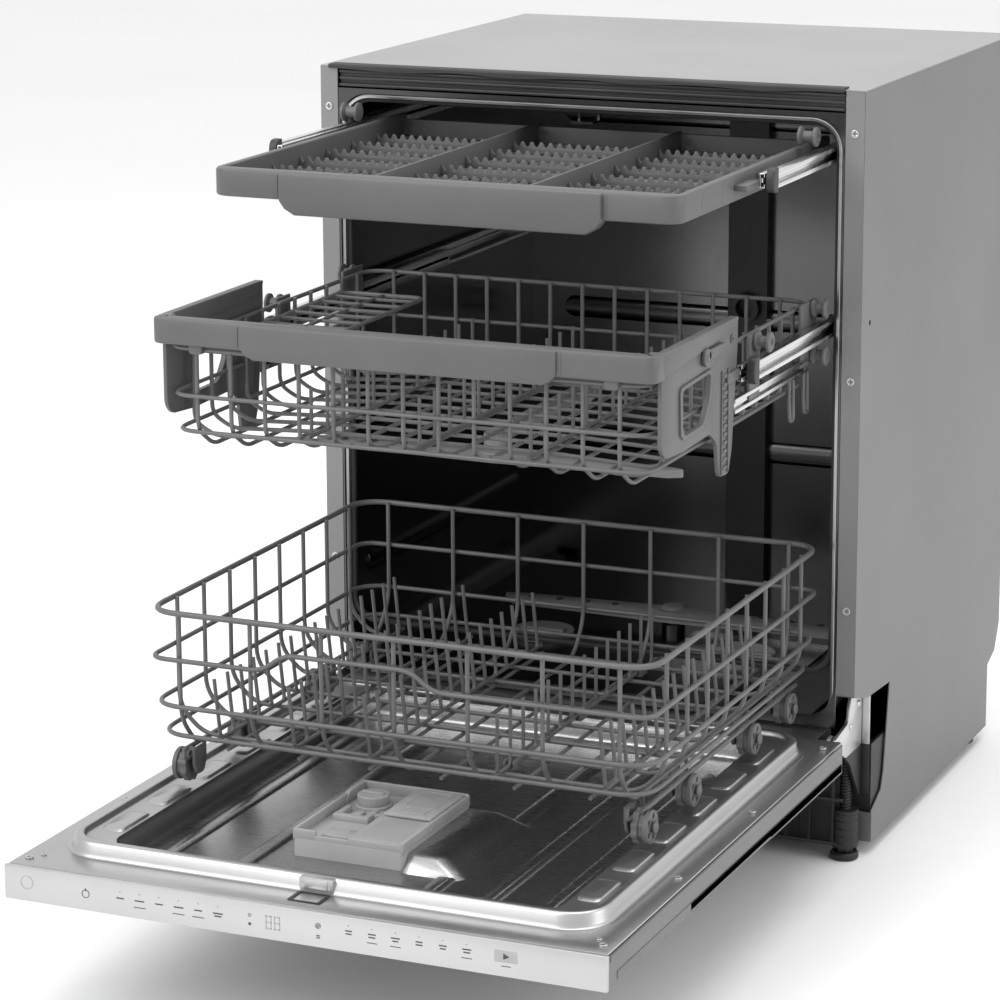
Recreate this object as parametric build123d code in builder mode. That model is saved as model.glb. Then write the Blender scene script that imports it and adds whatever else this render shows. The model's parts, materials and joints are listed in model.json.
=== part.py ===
"""Built-in dishwasher, 60 cm, with its door open and its three racks pulled out.

Millimetres, +Z up, the door opens towards -Y. The origin is on the floor, under the
middle of the whole open machine.
"""

import os

from build123d import *

os.makedirs("parts", exist_ok=True)

# ---------------------------------------------------------------- driving dimensions
cabinet_width = 598.0
cabinet_depth = 550.0
cabinet_height = 815.0
door_reach = 680.0
sheet = 1.2
half = cabinet_width / 2
front = (door_reach - cabinet_depth) / 2
back = front + cabinet_depth

base_bottom = 14.0
base_top = 120.0
base_wall = 3.0
base_front = front + 46.0
base_shoulder = front + 70.0
base_back = front + 503.0

tub_half = 277.0
tub_wall = 1.5
tub_floor = 157.0
tub_ceiling = 785.0
tub_lip = 166.0
tub_depth = 520.0
tub_corner = 34.0

hinge_y = front - 13.5
hinge_z = 140.0
hinge_pin_radius = 4.0

door_half = 297.5
door_bottom = 120.0
door_flange = 152.0
door_ledge = 161.0
door_rim = 166.0
door_pan = 137.0
door_front = front - door_reach
door_heel = front + 15.0
rim_front = front - 628.0
rim_back = front - 58.0

wheel_radius = 17.0
wheel_width = 16.0
wheel_z = 184.0
wheel_x = 240.0
wheel_places = [front - 437.0, front - 322.0, front - 150.0, front - 40.0]

lower_half = 258.0
lower_front = front - 473.0
lower_back = front + 5.0
lower_floor_z = 206.0
lower_top = 345.0
wire = 2.0
rim_wire = 2.75

middle_half = 246.0
middle_front = front - 458.0
middle_back = front + 0.0
middle_floor_z = 505.0
middle_top = 602.0
band_top = 628.0

tray_half = 240.0
tray_front = front - 361.0
tray_back = front + 70.0
tray_bottom = 730.0
tray_top = 757.0

rail_outer = 276.6
rail_inner = 268.2
runner_outer = 267.5
runner_inner = 260.0
slide_outer = 258.5
slide_inner = 253.0

arm_y = front + 270.0


def upright(y):
    """Vertical plane facing the front at the given y, with its own y axis along +Z."""
    return Plane.XZ.offset(-y)


def bars(axis, radius, length, places):
    """Round wires of one length lying along one axis, centred on each place."""
    turns = {"x": (0, 90, 0), "y": (90, 0, 0), "z": (0, 0, 0)}
    with Locations(*places):
        Cylinder(radius, length, rotation=turns[axis])


def block(low, high, mode=Mode.ADD):
    """Box between two corners."""
    size = [b - a for a, b in zip(low, high)]
    middle = [(a + b) / 2 for a, b in zip(low, high)]
    with Locations(tuple(middle)):
        Box(*size, mode=mode)


def mirrored_blocks(low, high, mode=Mode.ADD):
    """Box given for the right-hand side, with its twin on the left."""
    block(low, high, mode)
    block((-high[0], low[1], low[2]), (-low[0], high[1], high[2]), mode)


def steps(first, last, count):
    """Evenly spaced values from first to last, both included."""
    return [first + (last - first) * i / (count - 1) for i in range(count)]


# ---------------------------------------------------------------- cabinet
cut_out = [
    (front, 190.0),
    (front + 46.0, 178.0),
    (front + 122.0, 174.0),
    (front + 106.0, 80.0),
    (front + 98.0, 62.0),
    (front + 66.0, 48.0),
    (front + 66.0, base_bottom),
]
rear_step = [
    (front + 505.0, base_bottom),
    (front + 505.0, 88.0),
    (front + 533.0, 98.0),
    (back, 128.0),
]
panel_top = 811.6
for side, side_name in ((-1, "left"), (1, "right")):
    inner_face = half - sheet if side > 0 else -half
    with BuildPart() as side_panel:
        with BuildSketch(Plane.YZ.offset(inner_face)):
            with BuildLine():
                Polyline(*cut_out, *rear_step, (back, panel_top), (front, panel_top), close=True)
            make_face()
        extrude(amount=sheet)
        flange_x = sorted([side * (half - 20.0), side * half])
        block((flange_x[0], front, 190.0), (flange_x[1], front + sheet, panel_top))
        tab_x = sorted([side * (half - 20.0), side * half])
        block((tab_x[0], front + 66.0, base_bottom), (tab_x[1], front + 66.0 + sheet, 46.0))
        with Locations((side * (half - 10.0), front, 220.0)):
            Box(5.0, 8.0, 32.0, mode=Mode.SUBTRACT)
        with Locations((side * half, front + 28.0, 576.0)):
            Cylinder(3.0, 8.0, rotation=(0, 90, 0), mode=Mode.SUBTRACT)
    side_panel.part.label = f"side_panel_{side_name}"
    export_step(side_panel.part, f"parts/side_panel_{side_name}.step")

with BuildPart() as top_panel:
    block((-half, front, 811.8), (half, back, 813.0))
top_panel.part.label = "top_panel"
export_step(top_panel.part, "parts/top_panel.step")

with BuildPart() as back_panel:
    block((-half + sheet + 0.3, back - sheet, 130.0), (half - sheet - 0.3, back, 811.5))
    for z in (300.0, 640.0):
        block((-220.0, back - 4.0, z), (220.0, back - sheet, z + 14.0))
back_panel.part.label = "back_panel"
export_step(back_panel.part, "parts/back_panel.step")

with BuildPart() as moisture_strip:
    block((-half + 2.0, front - 5.0, 813.2), (half - 2.0, front + 14.0, cabinet_height))
    block((-half + 2.0, front - 5.0, 808.5), (half - 2.0, front - 3.4, cabinet_height))
moisture_strip.part.label = "moisture_strip"
export_step(moisture_strip.part, "parts/moisture_strip.step")

with BuildPart() as top_front_rail:
    block((-278.0, front + 0.2, 791.0), (278.0, front + 24.0, 811.4))
    for z in (797.0, 805.0):
        block((-278.0, front, z - 1.2), (278.0, front + 3.0, z + 1.2), Mode.SUBTRACT)
top_front_rail.part.label = "top_front_rail"
export_step(top_front_rail.part, "parts/top_front_rail.step")

base_outline = [
    (277.5, base_front),
    (277.5, base_shoulder),
    (296.5, base_shoulder),
    (296.5, base_back),
]
foot_apart = 276.0
foot_ahead = 2.0
foot_top = 108.0
front_feet = [(x, base_front + foot_ahead) for x in (-foot_apart, foot_apart)]
foot_places = [*front_feet, (-foot_apart, base_back - 23.0), (foot_apart, base_back - 23.0)]
inlet_x = -200.0
drain_x = -130.0
gland_x = 190.0
with BuildPart() as base_tray:
    with BuildSketch(Plane.XY.offset(base_bottom)):
        with BuildLine():
            left_outline = [(-x, y) for x, y in reversed(base_outline)]
            Polyline(*base_outline, *left_outline, close=True)
        make_face()
    extrude(amount=base_top - base_bottom)
    with BuildSketch(Plane.XY.offset(base_bottom + base_wall)):
        with BuildLine():
            inner = [
                (277.5 - base_wall, base_front + base_wall),
                (277.5 - base_wall, base_shoulder + base_wall),
                (296.5 - base_wall, base_shoulder + base_wall),
                (296.5 - base_wall, base_back - base_wall),
            ]
            Polyline(*inner, *[(-x, y) for x, y in reversed(inner)], close=True)
        make_face()
    extrude(amount=base_top, mode=Mode.SUBTRACT)
    with Locations(*[(x, y, base_bottom + 20.0) for x, y in foot_places]):
        Cylinder(14.0, 40.0)
    with Locations(*[(x, y, foot_top / 2) for x, y in foot_places]):
        Cylinder(5.4, foot_top + 8.0, mode=Mode.SUBTRACT)
    for x, radius in ((inlet_x, 13.6), (drain_x, 9.9), (gland_x, 9.2)):
        with Locations((x, base_back, 66.0)):
            Cylinder(radius, 16.0, rotation=(90, 0, 0), mode=Mode.SUBTRACT)
    for x in steps(-225.0, 225.0, 10):
        block((x - 1.5, base_front - 1.6, 24.0), (x + 1.5, base_front, 112.0))
base_tray.part.label = "base_tray"
export_step(base_tray.part, "parts/base_tray.step")

with BuildPart() as leveling_feet:
    with Locations(*[(x, y, 4.0) for x, y in foot_places]):
        Cylinder(15.0, 8.0)
    with Locations(*[(x, y, 10.6) for x, y in foot_places]):
        Cylinder(9.0, 5.8)
    with Locations(*[(x, y, (8.0 + foot_top) / 2) for x, y in foot_places]):
        Cylinder(5.0, foot_top - 8.0)
leveling_feet.part.label = "leveling_feet"
export_step(leveling_feet.part, "parts/leveling_feet.step")

with BuildPart() as ballast_weight:
    block((-120.0, base_back - 68.0, 17.3), (120.0, base_back - 4.0, 86.0))
ballast_weight.part.label = "ballast_weight"
export_step(ballast_weight.part, "parts/ballast_weight.step")

# ---------------------------------------------------------------- tub
tub_middle_z = (tub_floor + tub_ceiling) / 2
tub_height = tub_ceiling - tub_floor
filter_place = (105.0, front + 200.0)
salt_place = (-130.0, front + 200.0)
tub_seam = tub_lip + 0.5
with BuildPart() as tub:
    with BuildSketch(upright(front + 1.5)):
        with Locations((0, tub_middle_z)):
            RectangleRounded(2 * (tub_half + tub_wall), tub_height + 2 * tub_wall, tub_corner)
    extrude(amount=-(tub_depth + tub_wall - 1.5))
    with BuildSketch(upright(front + 1.5)):
        with Locations((0, tub_middle_z)):
            RectangleRounded(2 * tub_half, tub_height, tub_corner - tub_wall)
    extrude(amount=-(tub_depth - 1.5), mode=Mode.SUBTRACT)
    with BuildSketch(upright(front)):
        with Locations((0, (155.0 + 790.0) / 2)):
            Rectangle(2 * (tub_half + tub_wall), 790.0 - 155.0)
        with Locations((0, (tub_lip + tub_ceiling) / 2)):
            RectangleRounded(
                2 * tub_half, tub_ceiling - tub_lip, tub_corner - tub_wall, mode=Mode.SUBTRACT
            )
    extrude(amount=-1.5)
    track_low = (226.0, front + 1.4, tub_floor - 0.5)
    mirrored_blocks(track_low, (252.0, front + 500.0, tub_lip + 0.4))
    with Locations((*filter_place, tub_floor)):
        Cylinder(50.0, 10.0, mode=Mode.SUBTRACT)
    with Locations((*salt_place, tub_floor)):
        Cylinder(32.0, 10.0, mode=Mode.SUBTRACT)
    with Locations((0, front + 505.0, tub_floor)):
        Cylinder(7.0, 10.0, mode=Mode.SUBTRACT)
    with Locations((0, arm_y, tub_floor + 4.45)):
        Cylinder(13.0, 9.9)
    with Locations((0, arm_y, tub_seam + 2.1)):
        Cylinder(8.0, 3.6)
    block((-12.0, front - 7.0, 766.0), (12.0, front + 16.0, 768.5))
    mirrored_blocks((9.5, front + 12.5, 768.0), (12.0, front + 16.0, tub_ceiling + 0.5))
    # the floor pan and the wrap above it are two sheets, welded along this seam
    split(bisect_by=Plane.XY.offset(tub_seam), keep=Keep.BOTH)
tub.part.label = "tub"
export_step(tub.part, "parts/tub.step")

with BuildPart() as tub_seal:
    with BuildSketch(upright(front + 2.5)):
        with Locations((0, (tub_lip + tub_ceiling) / 2)):
            RectangleRounded(2 * (tub_half - 0.5), tub_ceiling - tub_lip - 1.0, tub_corner - 2.0)
            RectangleRounded(
                2 * (tub_half - 7.5), tub_ceiling - tub_lip - 15.0, tub_corner - 9.0, mode=Mode.SUBTRACT
            )
        with Locations((0, tub_lip)):
            Rectangle(600.0, 80.0, mode=Mode.SUBTRACT)
    extrude(amount=-9.0)
tub_seal.part.label = "tub_seal"
export_step(tub_seal.part, "parts/tub_seal.step")

# ---------------------------------------------------------------- water circuit
with BuildPart() as sump:
    with Locations((*filter_place, 106.0)):
        Cylinder(56.0, 94.0)
    with Locations((*filter_place, tub_floor - tub_wall - 1.4)):
        Cylinder(64.0, 2.4)
    with Locations((*filter_place, 112.0)):
        Cylinder(52.0, 100.0, mode=Mode.SUBTRACT)
    with Locations((filter_place[0], filter_place[1] + 66.0, 82.0)):
        Cylinder(15.0, 24.0, rotation=(90, 0, 0))
sump.part.label = "sump"
export_step(sump.part, "parts/sump.step")

with BuildPart() as filter_cylinder:
    with Locations((*filter_place, 126.0)):
        Cylinder(38.0, 76.0)
    with Locations((*filter_place, 127.0)):
        Cylinder(35.0, 74.0, mode=Mode.SUBTRACT)
    with Locations((*filter_place, 162.0)):
        Box(72.0, 8.0, 6.0)
filter_cylinder.part.label = "filter_cylinder"
export_step(filter_cylinder.part, "parts/filter_cylinder.step")

with BuildPart() as filter_plate:
    with Locations((*filter_place, tub_floor + 1.2)):
        Box(160.0, 150.0, 1.6)
    with Locations((*filter_place, tub_floor + 1.0)):
        Cylinder(38.6, 6.0, mode=Mode.SUBTRACT)
filter_plate.part.label = "filter_plate"
export_step(filter_plate.part, "parts/filter_plate.step")

with BuildPart() as softener_tank:
    block((-205.0, front + 130.0, 30.0), (-60.0, front + 270.0, 138.0))
    with Locations((*salt_place, 145.5)):
        Cylinder(31.0, 20.0)
    block((-202.0, front + 133.0, 33.0), (-63.0, front + 267.0, 135.0), Mode.SUBTRACT)
    with Locations((*salt_place, 145.0)):
        Cylinder(28.6, 26.0, mode=Mode.SUBTRACT)
softener_tank.part.label = "softener_tank"
export_step(softener_tank.part, "parts/softener_tank.step")

with BuildPart() as salt_cap:
    with Locations((*salt_place, 152.0)):
        Cylinder(28.0, 14.4)
    with Locations((*salt_place, 160.4)):
        Cylinder(35.0, 5.6)
    with Locations((*salt_place, 164.5)):
        Box(52.0, 9.0, 4.0)
salt_cap.part.label = "salt_cap"
export_step(salt_cap.part, "parts/salt_cap.step")

with BuildPart() as circulation_pump:
    with Locations((105.0, front + 345.0, 82.0)):
        Cylinder(42.0, 96.0, rotation=(90, 0, 0))
    with Locations((105.0, front + 290.0, 82.0)):
        Cylinder(50.0, 20.0, rotation=(90, 0, 0))
    with Locations((40.0, front + 290.0, 112.0)):
        Cylinder(11.0, 60.0, rotation=(0, 90, 0))
circulation_pump.part.label = "circulation_pump"
export_step(circulation_pump.part, "parts/circulation_pump.step")

with BuildPart() as drain_pump:
    with Locations((drain_x, front + 335.0, 66.0)):
        Cylinder(28.0, 64.0, rotation=(90, 0, 0))
    with Locations((drain_x, (front + 360.0 + base_back + 2.0) / 2, 66.0)):
        Cylinder(9.0, base_back + 2.0 - front - 360.0, rotation=(90, 0, 0))
    with Locations((drain_x, base_back + 12.0, 66.0)):
        Cylinder(9.5, 20.0, rotation=(90, 0, 0))
    with Locations((drain_x, base_back + 2.0, 66.0)):
        Cylinder(7.0, 60.0, rotation=(90, 0, 0), mode=Mode.SUBTRACT)
drain_pump.part.label = "drain_pump"
export_step(drain_pump.part, "parts/drain_pump.step")

with BuildPart() as inlet_valve:
    block((inlet_x - 22.0, base_back - 58.0, 40.0), (inlet_x + 22.0, base_back - 20.0, 96.0))
    with Locations((inlet_x, base_back - 10.0, 66.0)):
        Cylinder(12.4, 22.0, rotation=(90, 0, 0))
    with Locations((inlet_x, base_back + 10.0, 66.0)):
        Cylinder(13.2, 18.0, rotation=(90, 0, 0))
    with Locations((inlet_x, base_back + 8.0, 66.0)):
        Cylinder(9.0, 30.0, rotation=(90, 0, 0), mode=Mode.SUBTRACT)
inlet_valve.part.label = "inlet_valve"
export_step(inlet_valve.part, "parts/inlet_valve.step")

with BuildPart() as power_gland:
    with Locations((gland_x, base_back + 3.0, 66.0)):
        Cylinder(12.5, 6.0, rotation=(90, 0, 0))
        Cylinder(9.0, 18.0, rotation=(90, 0, 0))
        Cylinder(4.0, 24.0, rotation=(90, 0, 0), mode=Mode.SUBTRACT)
power_gland.part.label = "power_gland"
export_step(power_gland.part, "parts/power_gland.step")

dock_z = 487.0
with BuildPart() as supply_column:
    block((-24.0, front + 506.0, tub_floor + 0.6), (24.0, front + 519.0, 784.0))
    block((-18.0, front + 268.0, 775.2), (18.0, front + 519.0, 784.0))
    with Locations((0, arm_y, 774.0)):
        Cylinder(14.0, 6.0)
    with Locations((0, front + 501.0, dock_z)):
        Cylinder(17.0, 12.0, rotation=(90, 0, 0))
        Cylinder(11.0, 20.0, rotation=(90, 0, 0), mode=Mode.SUBTRACT)
supply_column.part.label = "supply_column"
export_step(supply_column.part, "parts/supply_column.step")


def spray_arm(centre, z, reach, thickness, root_width, tip_width, hub_radius, hub_height):
    """Flat two-bladed arm around an upright axis, with its hub and its row of jets."""
    x, y = centre
    root = root_width / 2
    tip = tip_width / 2
    outline = [
        (x - reach + tip, y - tip),
        (x, y - root),
        (x + reach - tip, y - tip),
        (x + reach - tip, y + tip),
        (x, y + root),
        (x - reach + tip, y + tip),
    ]
    shares = [-5, -4, -3, -2, 2, 3, 4, 5]
    jets = [(x + i * reach / 6, y + (6.0 if i > 0 else -6.0), z) for i in shares]
    with BuildPart() as arm:
        with BuildSketch(Plane.XY.offset(z)):
            with BuildLine():
                Polyline(*outline, close=True)
            make_face()
            with Locations((x - reach + tip, y), (x + reach - tip, y)):
                Circle(tip)
        extrude(amount=thickness)
        with Locations((x, y, z + hub_height / 2)):
            Cylinder(hub_radius, hub_height)
        with Locations(*jets):
            Cylinder(2.2, 4 * thickness, mode=Mode.SUBTRACT)
    return arm


lower_spray_arm = spray_arm((0.0, arm_y), 171.0, 205.0, 13.0, 46.0, 30.0, 24.0, 17.0)
lower_spray_arm.part.label = "lower_spray_arm"
export_step(lower_spray_arm.part, "parts/lower_spray_arm.step")

top_spray_arm = spray_arm((0.0, arm_y), 761.5, 190.0, 6.5, 34.0, 24.0, 18.0, 9.0)
top_spray_arm.part.label = "top_spray_arm"
export_step(top_spray_arm.part, "parts/top_spray_arm.step")

middle_arm_y = front - 228.0
middle_spray_arm = spray_arm((0.0, middle_arm_y), 463.0, 195.0, 10.0, 40.0, 26.0, 20.0, 14.0)
middle_spray_arm.part.label = "middle_spray_arm"
export_step(middle_spray_arm.part, "parts/middle_spray_arm.step")

with BuildPart() as middle_feed_pipe:
    with Locations((0, (middle_arm_y + front + 4.0) / 2, dock_z)):
        Cylinder(9.0, front + 4.0 - middle_arm_y + 12.0, rotation=(90, 0, 0))
    with Locations((0, middle_arm_y, 483.7)):
        Cylinder(12.0, 12.6)
    with Locations((0, front + 6.0, dock_z)):
        Cylinder(13.0, 8.0, rotation=(90, 0, 0))
middle_feed_pipe.part.label = "middle_feed_pipe"
export_step(middle_feed_pipe.part, "parts/middle_feed_pipe.step")

# ---------------------------------------------------------------- door
dispenser_low = (-84.0, front - 516.0)
dispenser_high = (31.0, front - 364.0)
notch_x = 270.0
notch_y = front - 32.0
latch_y = front - 650.0
panel_holes = [(x, y) for x in (-240.0, 240.0) for y in (front - 600.0, front - 100.0)]
with BuildPart() as door_shell:
    block((-door_half, door_front + 6.2, door_bottom), (door_half, door_heel, 149.7))
    block(
        (-door_half + sheet, door_front + 5.0, door_bottom + sheet),
        (door_half - sheet, door_heel - sheet, 151.0),
        Mode.SUBTRACT,
    )
    mirrored_blocks((notch_x, notch_y, 110.0), (300.0, front + 30.0, 160.0), Mode.SUBTRACT)
    with Locations(*[(x, y, door_bottom) for x, y in panel_holes]):
        Cylinder(2.25, 8.0, mode=Mode.SUBTRACT)
door_shell.part.label = "door_shell"
export_step(door_shell.part, "parts/door_shell.step")

with BuildPart() as door_liner:
    block((-door_half + 0.5, door_front + 6.2, 150.0), (door_half - 0.5, door_heel, door_flange))
    with BuildSketch(Plane.XY.offset(door_pan - 1.6)):
        with Locations((0, (rim_front + rim_back) / 2)):
            RectangleRounded(536.0, rim_back - rim_front, 38.0)
    extrude(amount=door_rim - door_pan + 1.6)
    with BuildSketch(Plane.XY.offset(door_ledge)):
        with Locations((0, (rim_front + 26.0 + rim_back - 8.0) / 2)):
            RectangleRounded(520.0, rim_back - rim_front - 34.0, 30.0)
    extrude(amount=20.0, mode=Mode.SUBTRACT)
    with BuildSketch(Plane.XY.offset(door_pan)):
        with Locations((0, (rim_front + 26.0 + rim_back - 26.0) / 2)):
            RectangleRounded(444.0, rim_back - rim_front - 52.0, 26.0)
    extrude(amount=40.0, mode=Mode.SUBTRACT)
    with BuildSketch(Plane.XY.offset(door_pan - 5.0)):
        with Locations((0, (rim_front + rim_back) / 2)):
            RectangleRounded(532.8, rim_back - rim_front - 3.2, 36.4)
        with Locations((0, (rim_front + 26.0 + rim_back - 26.0) / 2)):
            RectangleRounded(447.2, rim_back - rim_front - 48.8, 27.6, mode=Mode.SUBTRACT)
    extrude(amount=door_ledge - 1.6 - door_pan + 5.0, mode=Mode.SUBTRACT)
    block(
        (dispenser_low[0] - 0.6, dispenser_low[1] - 0.6, 120.0),
        (dispenser_high[0] + 0.6, dispenser_high[1] + 0.6, 160.0),
        Mode.SUBTRACT,
    )
    block((-14.0, latch_y - 10.0, 140.0), (14.0, latch_y + 12.0, 156.0), Mode.SUBTRACT)
    mirrored_blocks((notch_x, notch_y, 110.0), (300.0, front + 30.0, 160.0), Mode.SUBTRACT)
    for y in steps(rim_front + 150.0, rim_back - 120.0, 4):
        block((-190.0, y - 6.0, door_pan - 0.4), (-130.0, y + 6.0, door_pan + 1.6))
        block((60.0, y - 6.0, door_pan - 0.4), (190.0, y + 6.0, door_pan + 1.6))
door_liner.part.label = "door_liner"
export_step(door_liner.part, "parts/door_liner.step")

with BuildPart() as control_strip:
    block((-half + 0.5, door_front, 119.0), (half - 0.5, door_front + 6.0, door_flange))
    edges_up = control_strip.edges().filter_by(Axis.Z).group_by(Axis.Y)[0]
    fillet(edges_up, 2.5)
control_strip.part.label = "control_strip"
export_step(control_strip.part, "parts/control_strip.step")

with BuildPart() as control_board:
    block((60.0, door_front + 14.0, 126.0), (250.0, door_front + 46.0, 127.6))
    for x in steps(75.0, 235.0, 6):
        block((x - 8.0, door_front + 18.0, 127.6), (x + 8.0, door_front + 36.0, 136.0))
control_board.part.label = "control_board"
export_step(control_board.part, "parts/control_board.step")

lid_low = (-22.0, front - 447.0)
lid_high = (27.0, front - 368.0)
cap_place = (-53.0, front - 404.0)
with BuildPart() as dispenser_body:
    block((*dispenser_low, 124.0), (*dispenser_high, door_rim))
    track_low = (lid_low[0] - 1.0, front - 514.8, 162.0)
    block(track_low, (lid_high[0] + 1.0, front - 366.8, 170.0), Mode.SUBTRACT)
    block((-16.0, front - 438.0, 140.0), (21.0, front - 376.0, 170.0), Mode.SUBTRACT)
    with Locations((*cap_place, 162.0)):
        Cylinder(16.4, 10.0, mode=Mode.SUBTRACT)
    block((-80.0, front - 512.0, 128.0), (-30.0, front - 372.0, 154.0), Mode.SUBTRACT)
dispenser_body.part.label = "dispenser_body"
export_step(dispenser_body.part, "parts/dispenser_body.step")

with BuildPart() as dispenser_lid:
    block((*lid_low, 162.3), (*lid_high, 165.7))
    grip_low = (lid_low[0] + 10.0, lid_low[1] + 4.0, 165.7)
    block(grip_low, (lid_high[0] - 10.0, lid_low[1] + 12.0, 167.4))
dispenser_lid.part.label = "dispenser_lid"
export_step(dispenser_lid.part, "parts/dispenser_lid.step")

with BuildPart() as rinse_aid_cap:
    with Locations((*cap_place, 162.2)):
        Cylinder(15.6, 9.6)
    with Locations((*cap_place, 168.0)):
        Box(22.0, 5.0, 3.0)
rinse_aid_cap.part.label = "rinse_aid_cap"
export_step(rinse_aid_cap.part, "parts/rinse_aid_cap.step")

with BuildPart() as latch_claw:
    with BuildSketch(Plane.YZ.offset(-4.0)):
        with Locations((latch_y, 138.0)):
            Circle(8.2)
            Rectangle(3.2, 3.2, mode=Mode.SUBTRACT)
        with Locations((latch_y, 146.0)):
            Rectangle(5.0, 7.0, mode=Mode.SUBTRACT)
    extrude(amount=8.0)
latch_claw.part.label = "latch_claw"
export_step(latch_claw.part, "parts/latch_claw.step")

with BuildPart() as door_bottom_seal:
    block((-262.0, front + 3.0, 152.1), (262.0, front + 14.0, 153.4))
    block((-262.0, front + 11.6, 152.1), (262.0, front + 14.0, 154.4))
door_bottom_seal.part.label = "door_bottom_seal"
export_step(door_bottom_seal.part, "parts/door_bottom_seal.step")

# ---------------------------------------------------------------- door hinges
with BuildPart() as hinge_arms:
    for x in (-281.0, 277.0):
        with BuildSketch(Plane.YZ.offset(x)):
            with Locations((hinge_y, hinge_z)):
                Circle(11.0)
            with Locations((hinge_y - 120.0, hinge_z - 1.0)):
                Rectangle(240.0, 18.0)
            with Locations((hinge_y, hinge_z)):
                Circle(hinge_pin_radius + 0.05, mode=Mode.SUBTRACT)
        extrude(amount=4.0)
hinge_arms.part.label = "hinge_arms"
export_step(hinge_arms.part, "parts/hinge_arms.step")

bracket_outline = [
    (hinge_y - 12.0, hinge_z - 11.0),
    (hinge_y - 12.0, hinge_z + 11.0),
    (front + 20.0, 156.0),
    (front + 30.0, 184.0),
    (front + 69.5, 184.0),
    (front + 69.5, 66.0),
    (front + 58.0, 66.0),
    (front + 28.0, 108.0),
    (front + 4.0, 126.0),
]
with BuildPart() as hinge_brackets:
    for x in (-287.0, 283.0):
        with BuildSketch(Plane.YZ.offset(x)):
            with BuildLine():
                Polyline(*bracket_outline, close=True)
            make_face()
        extrude(amount=4.0)
    mirrored_blocks((279.5, front + 67.6, 66.0), (295.0, front + 69.6, 180.0))
    bars("x", hinge_pin_radius, 12.0, [(x, hinge_y, hinge_z) for x in (-281.0, 281.0)])
    bars("x", 6.5, 1.8, [(x, hinge_y, hinge_z) for x in (-287.8, 287.8)])
hinge_brackets.part.label = "hinge_brackets"
export_step(hinge_brackets.part, "parts/hinge_brackets.step")

spring_z = 60.0
spring_turns = 24
spring_pitch = 6.0
with BuildPart() as balance_springs:
    spring_start = base_shoulder + 30.0
    for x in (-284.0, 284.0):
        with Locations((x, spring_start + spring_turns * spring_pitch / 2, spring_z)):
            Cylinder(5.6, spring_turns * spring_pitch, rotation=(90, 0, 0))
        coils = [(x, spring_start + (i + 0.5) * spring_pitch, spring_z) for i in range(spring_turns)]
        with Locations(*coils):
            Cylinder(7.6, 3.2, rotation=(90, 0, 0))
        block((x - 1.5, base_shoulder + 3.2, 58.0), (x + 1.5, spring_start + 1.0, 62.0))
balance_springs.part.label = "balance_springs"
export_step(balance_springs.part, "parts/balance_springs.step")

with BuildPart() as cabinet_screws:
    screw_places = [(x, front - 0.6, z) for x in (-289.0, 289.0) for z in (281.0, 520.0, 770.0)]
    bars("y", 3.6, 1.2, screw_places)
cabinet_screws.part.label = "cabinet_screws"
export_step(cabinet_screws.part, "parts/cabinet_screws.step")

# ---------------------------------------------------------------- cutlery tray
cell_edges = [(-236.0, -81.5), (-78.5, 78.5), (81.5, 236.0)]
with BuildPart() as tray_body:
    block((-tray_half, tray_front, tray_bottom), (tray_half, tray_back, tray_top))
    for low_x, high_x in cell_edges:
        cell_low = (low_x, tray_front + 18.0, tray_bottom + 3.0)
        block(cell_low, (high_x, tray_back - 4.0, 760.0), Mode.SUBTRACT)
        for x in steps(low_x + 22.0, high_x - 22.0, 4):
            for y in steps(tray_front + 80.0, tray_back - 60.0, 4):
                slot_low = (x - 10.0, y - 38.0, tray_bottom - 1.0)
                block(slot_low, (x + 10.0, y + 38.0, 740.0), Mode.SUBTRACT)
    block((-165.0, tray_front - 5.0, 716.0), (165.0, tray_front + 15.0, 756.0))
tray_body.part.label = "tray_body"
export_step(tray_body.part, "parts/tray_body.step")

with BuildPart() as tray_dividers:
    for low_x, high_x in cell_edges:
        for y in (tray_front + 120.0, tray_front + 240.0, tray_front + 360.0):
            block((low_x + 0.4, y - 1.0, 733.2), (high_x - 0.4, y + 1.0, 741.0))
            for x in steps(low_x + 8.0, high_x - 8.0, 9):
                block((x - 1.2, y - 1.0, 740.0), (x + 1.2, y + 1.0, 752.0))
tray_dividers.part.label = "tray_dividers"
export_step(tray_dividers.part, "parts/tray_dividers.step")


def rail_pair(inner_x, outer_x, y_low, y_high, z_low, z_high, groove):
    """Two straight rails with a groove along the face that looks inwards."""
    mirrored_blocks((inner_x, y_low, z_low), (outer_x, y_high, z_high))
    middle = (z_low + z_high) / 2
    low = (inner_x - 1.0, y_low - 1.0, middle - groove / 2)
    high = (inner_x + 1.6, y_high + 1.0, middle + groove / 2)
    mirrored_blocks(low, high, Mode.SUBTRACT)


with BuildPart() as tray_fixed_rails:
    rail_pair(rail_inner, rail_outer, front + 16.0, front + 460.0, 737.0, 757.0, 8.0)
tray_fixed_rails.part.label = "tray_fixed_rails"
export_step(tray_fixed_rails.part, "parts/tray_fixed_rails.step")

with BuildPart() as tray_runners:
    rail_pair(runner_inner, runner_outer, front - 178.0, front + 232.0, 739.0, 755.0, 6.0)
tray_runners.part.label = "tray_runners"
export_step(tray_runners.part, "parts/tray_runners.step")

with BuildPart() as tray_slides:
    mirrored_blocks((slide_inner, front - 340.0, 740.0), (slide_outer, front + 60.0, 754.0))
    for y in (front - 330.0, front - 140.0, front + 40.0):
        mirrored_blocks((tray_half, y - 12.0, 744.0), (slide_inner + 0.5, y + 12.0, 750.0))
tray_slides.part.label = "tray_slides"
export_step(tray_slides.part, "parts/tray_slides.step")

row_lift = 2 * wire + 0.3
tine_radius = 1.8


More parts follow.
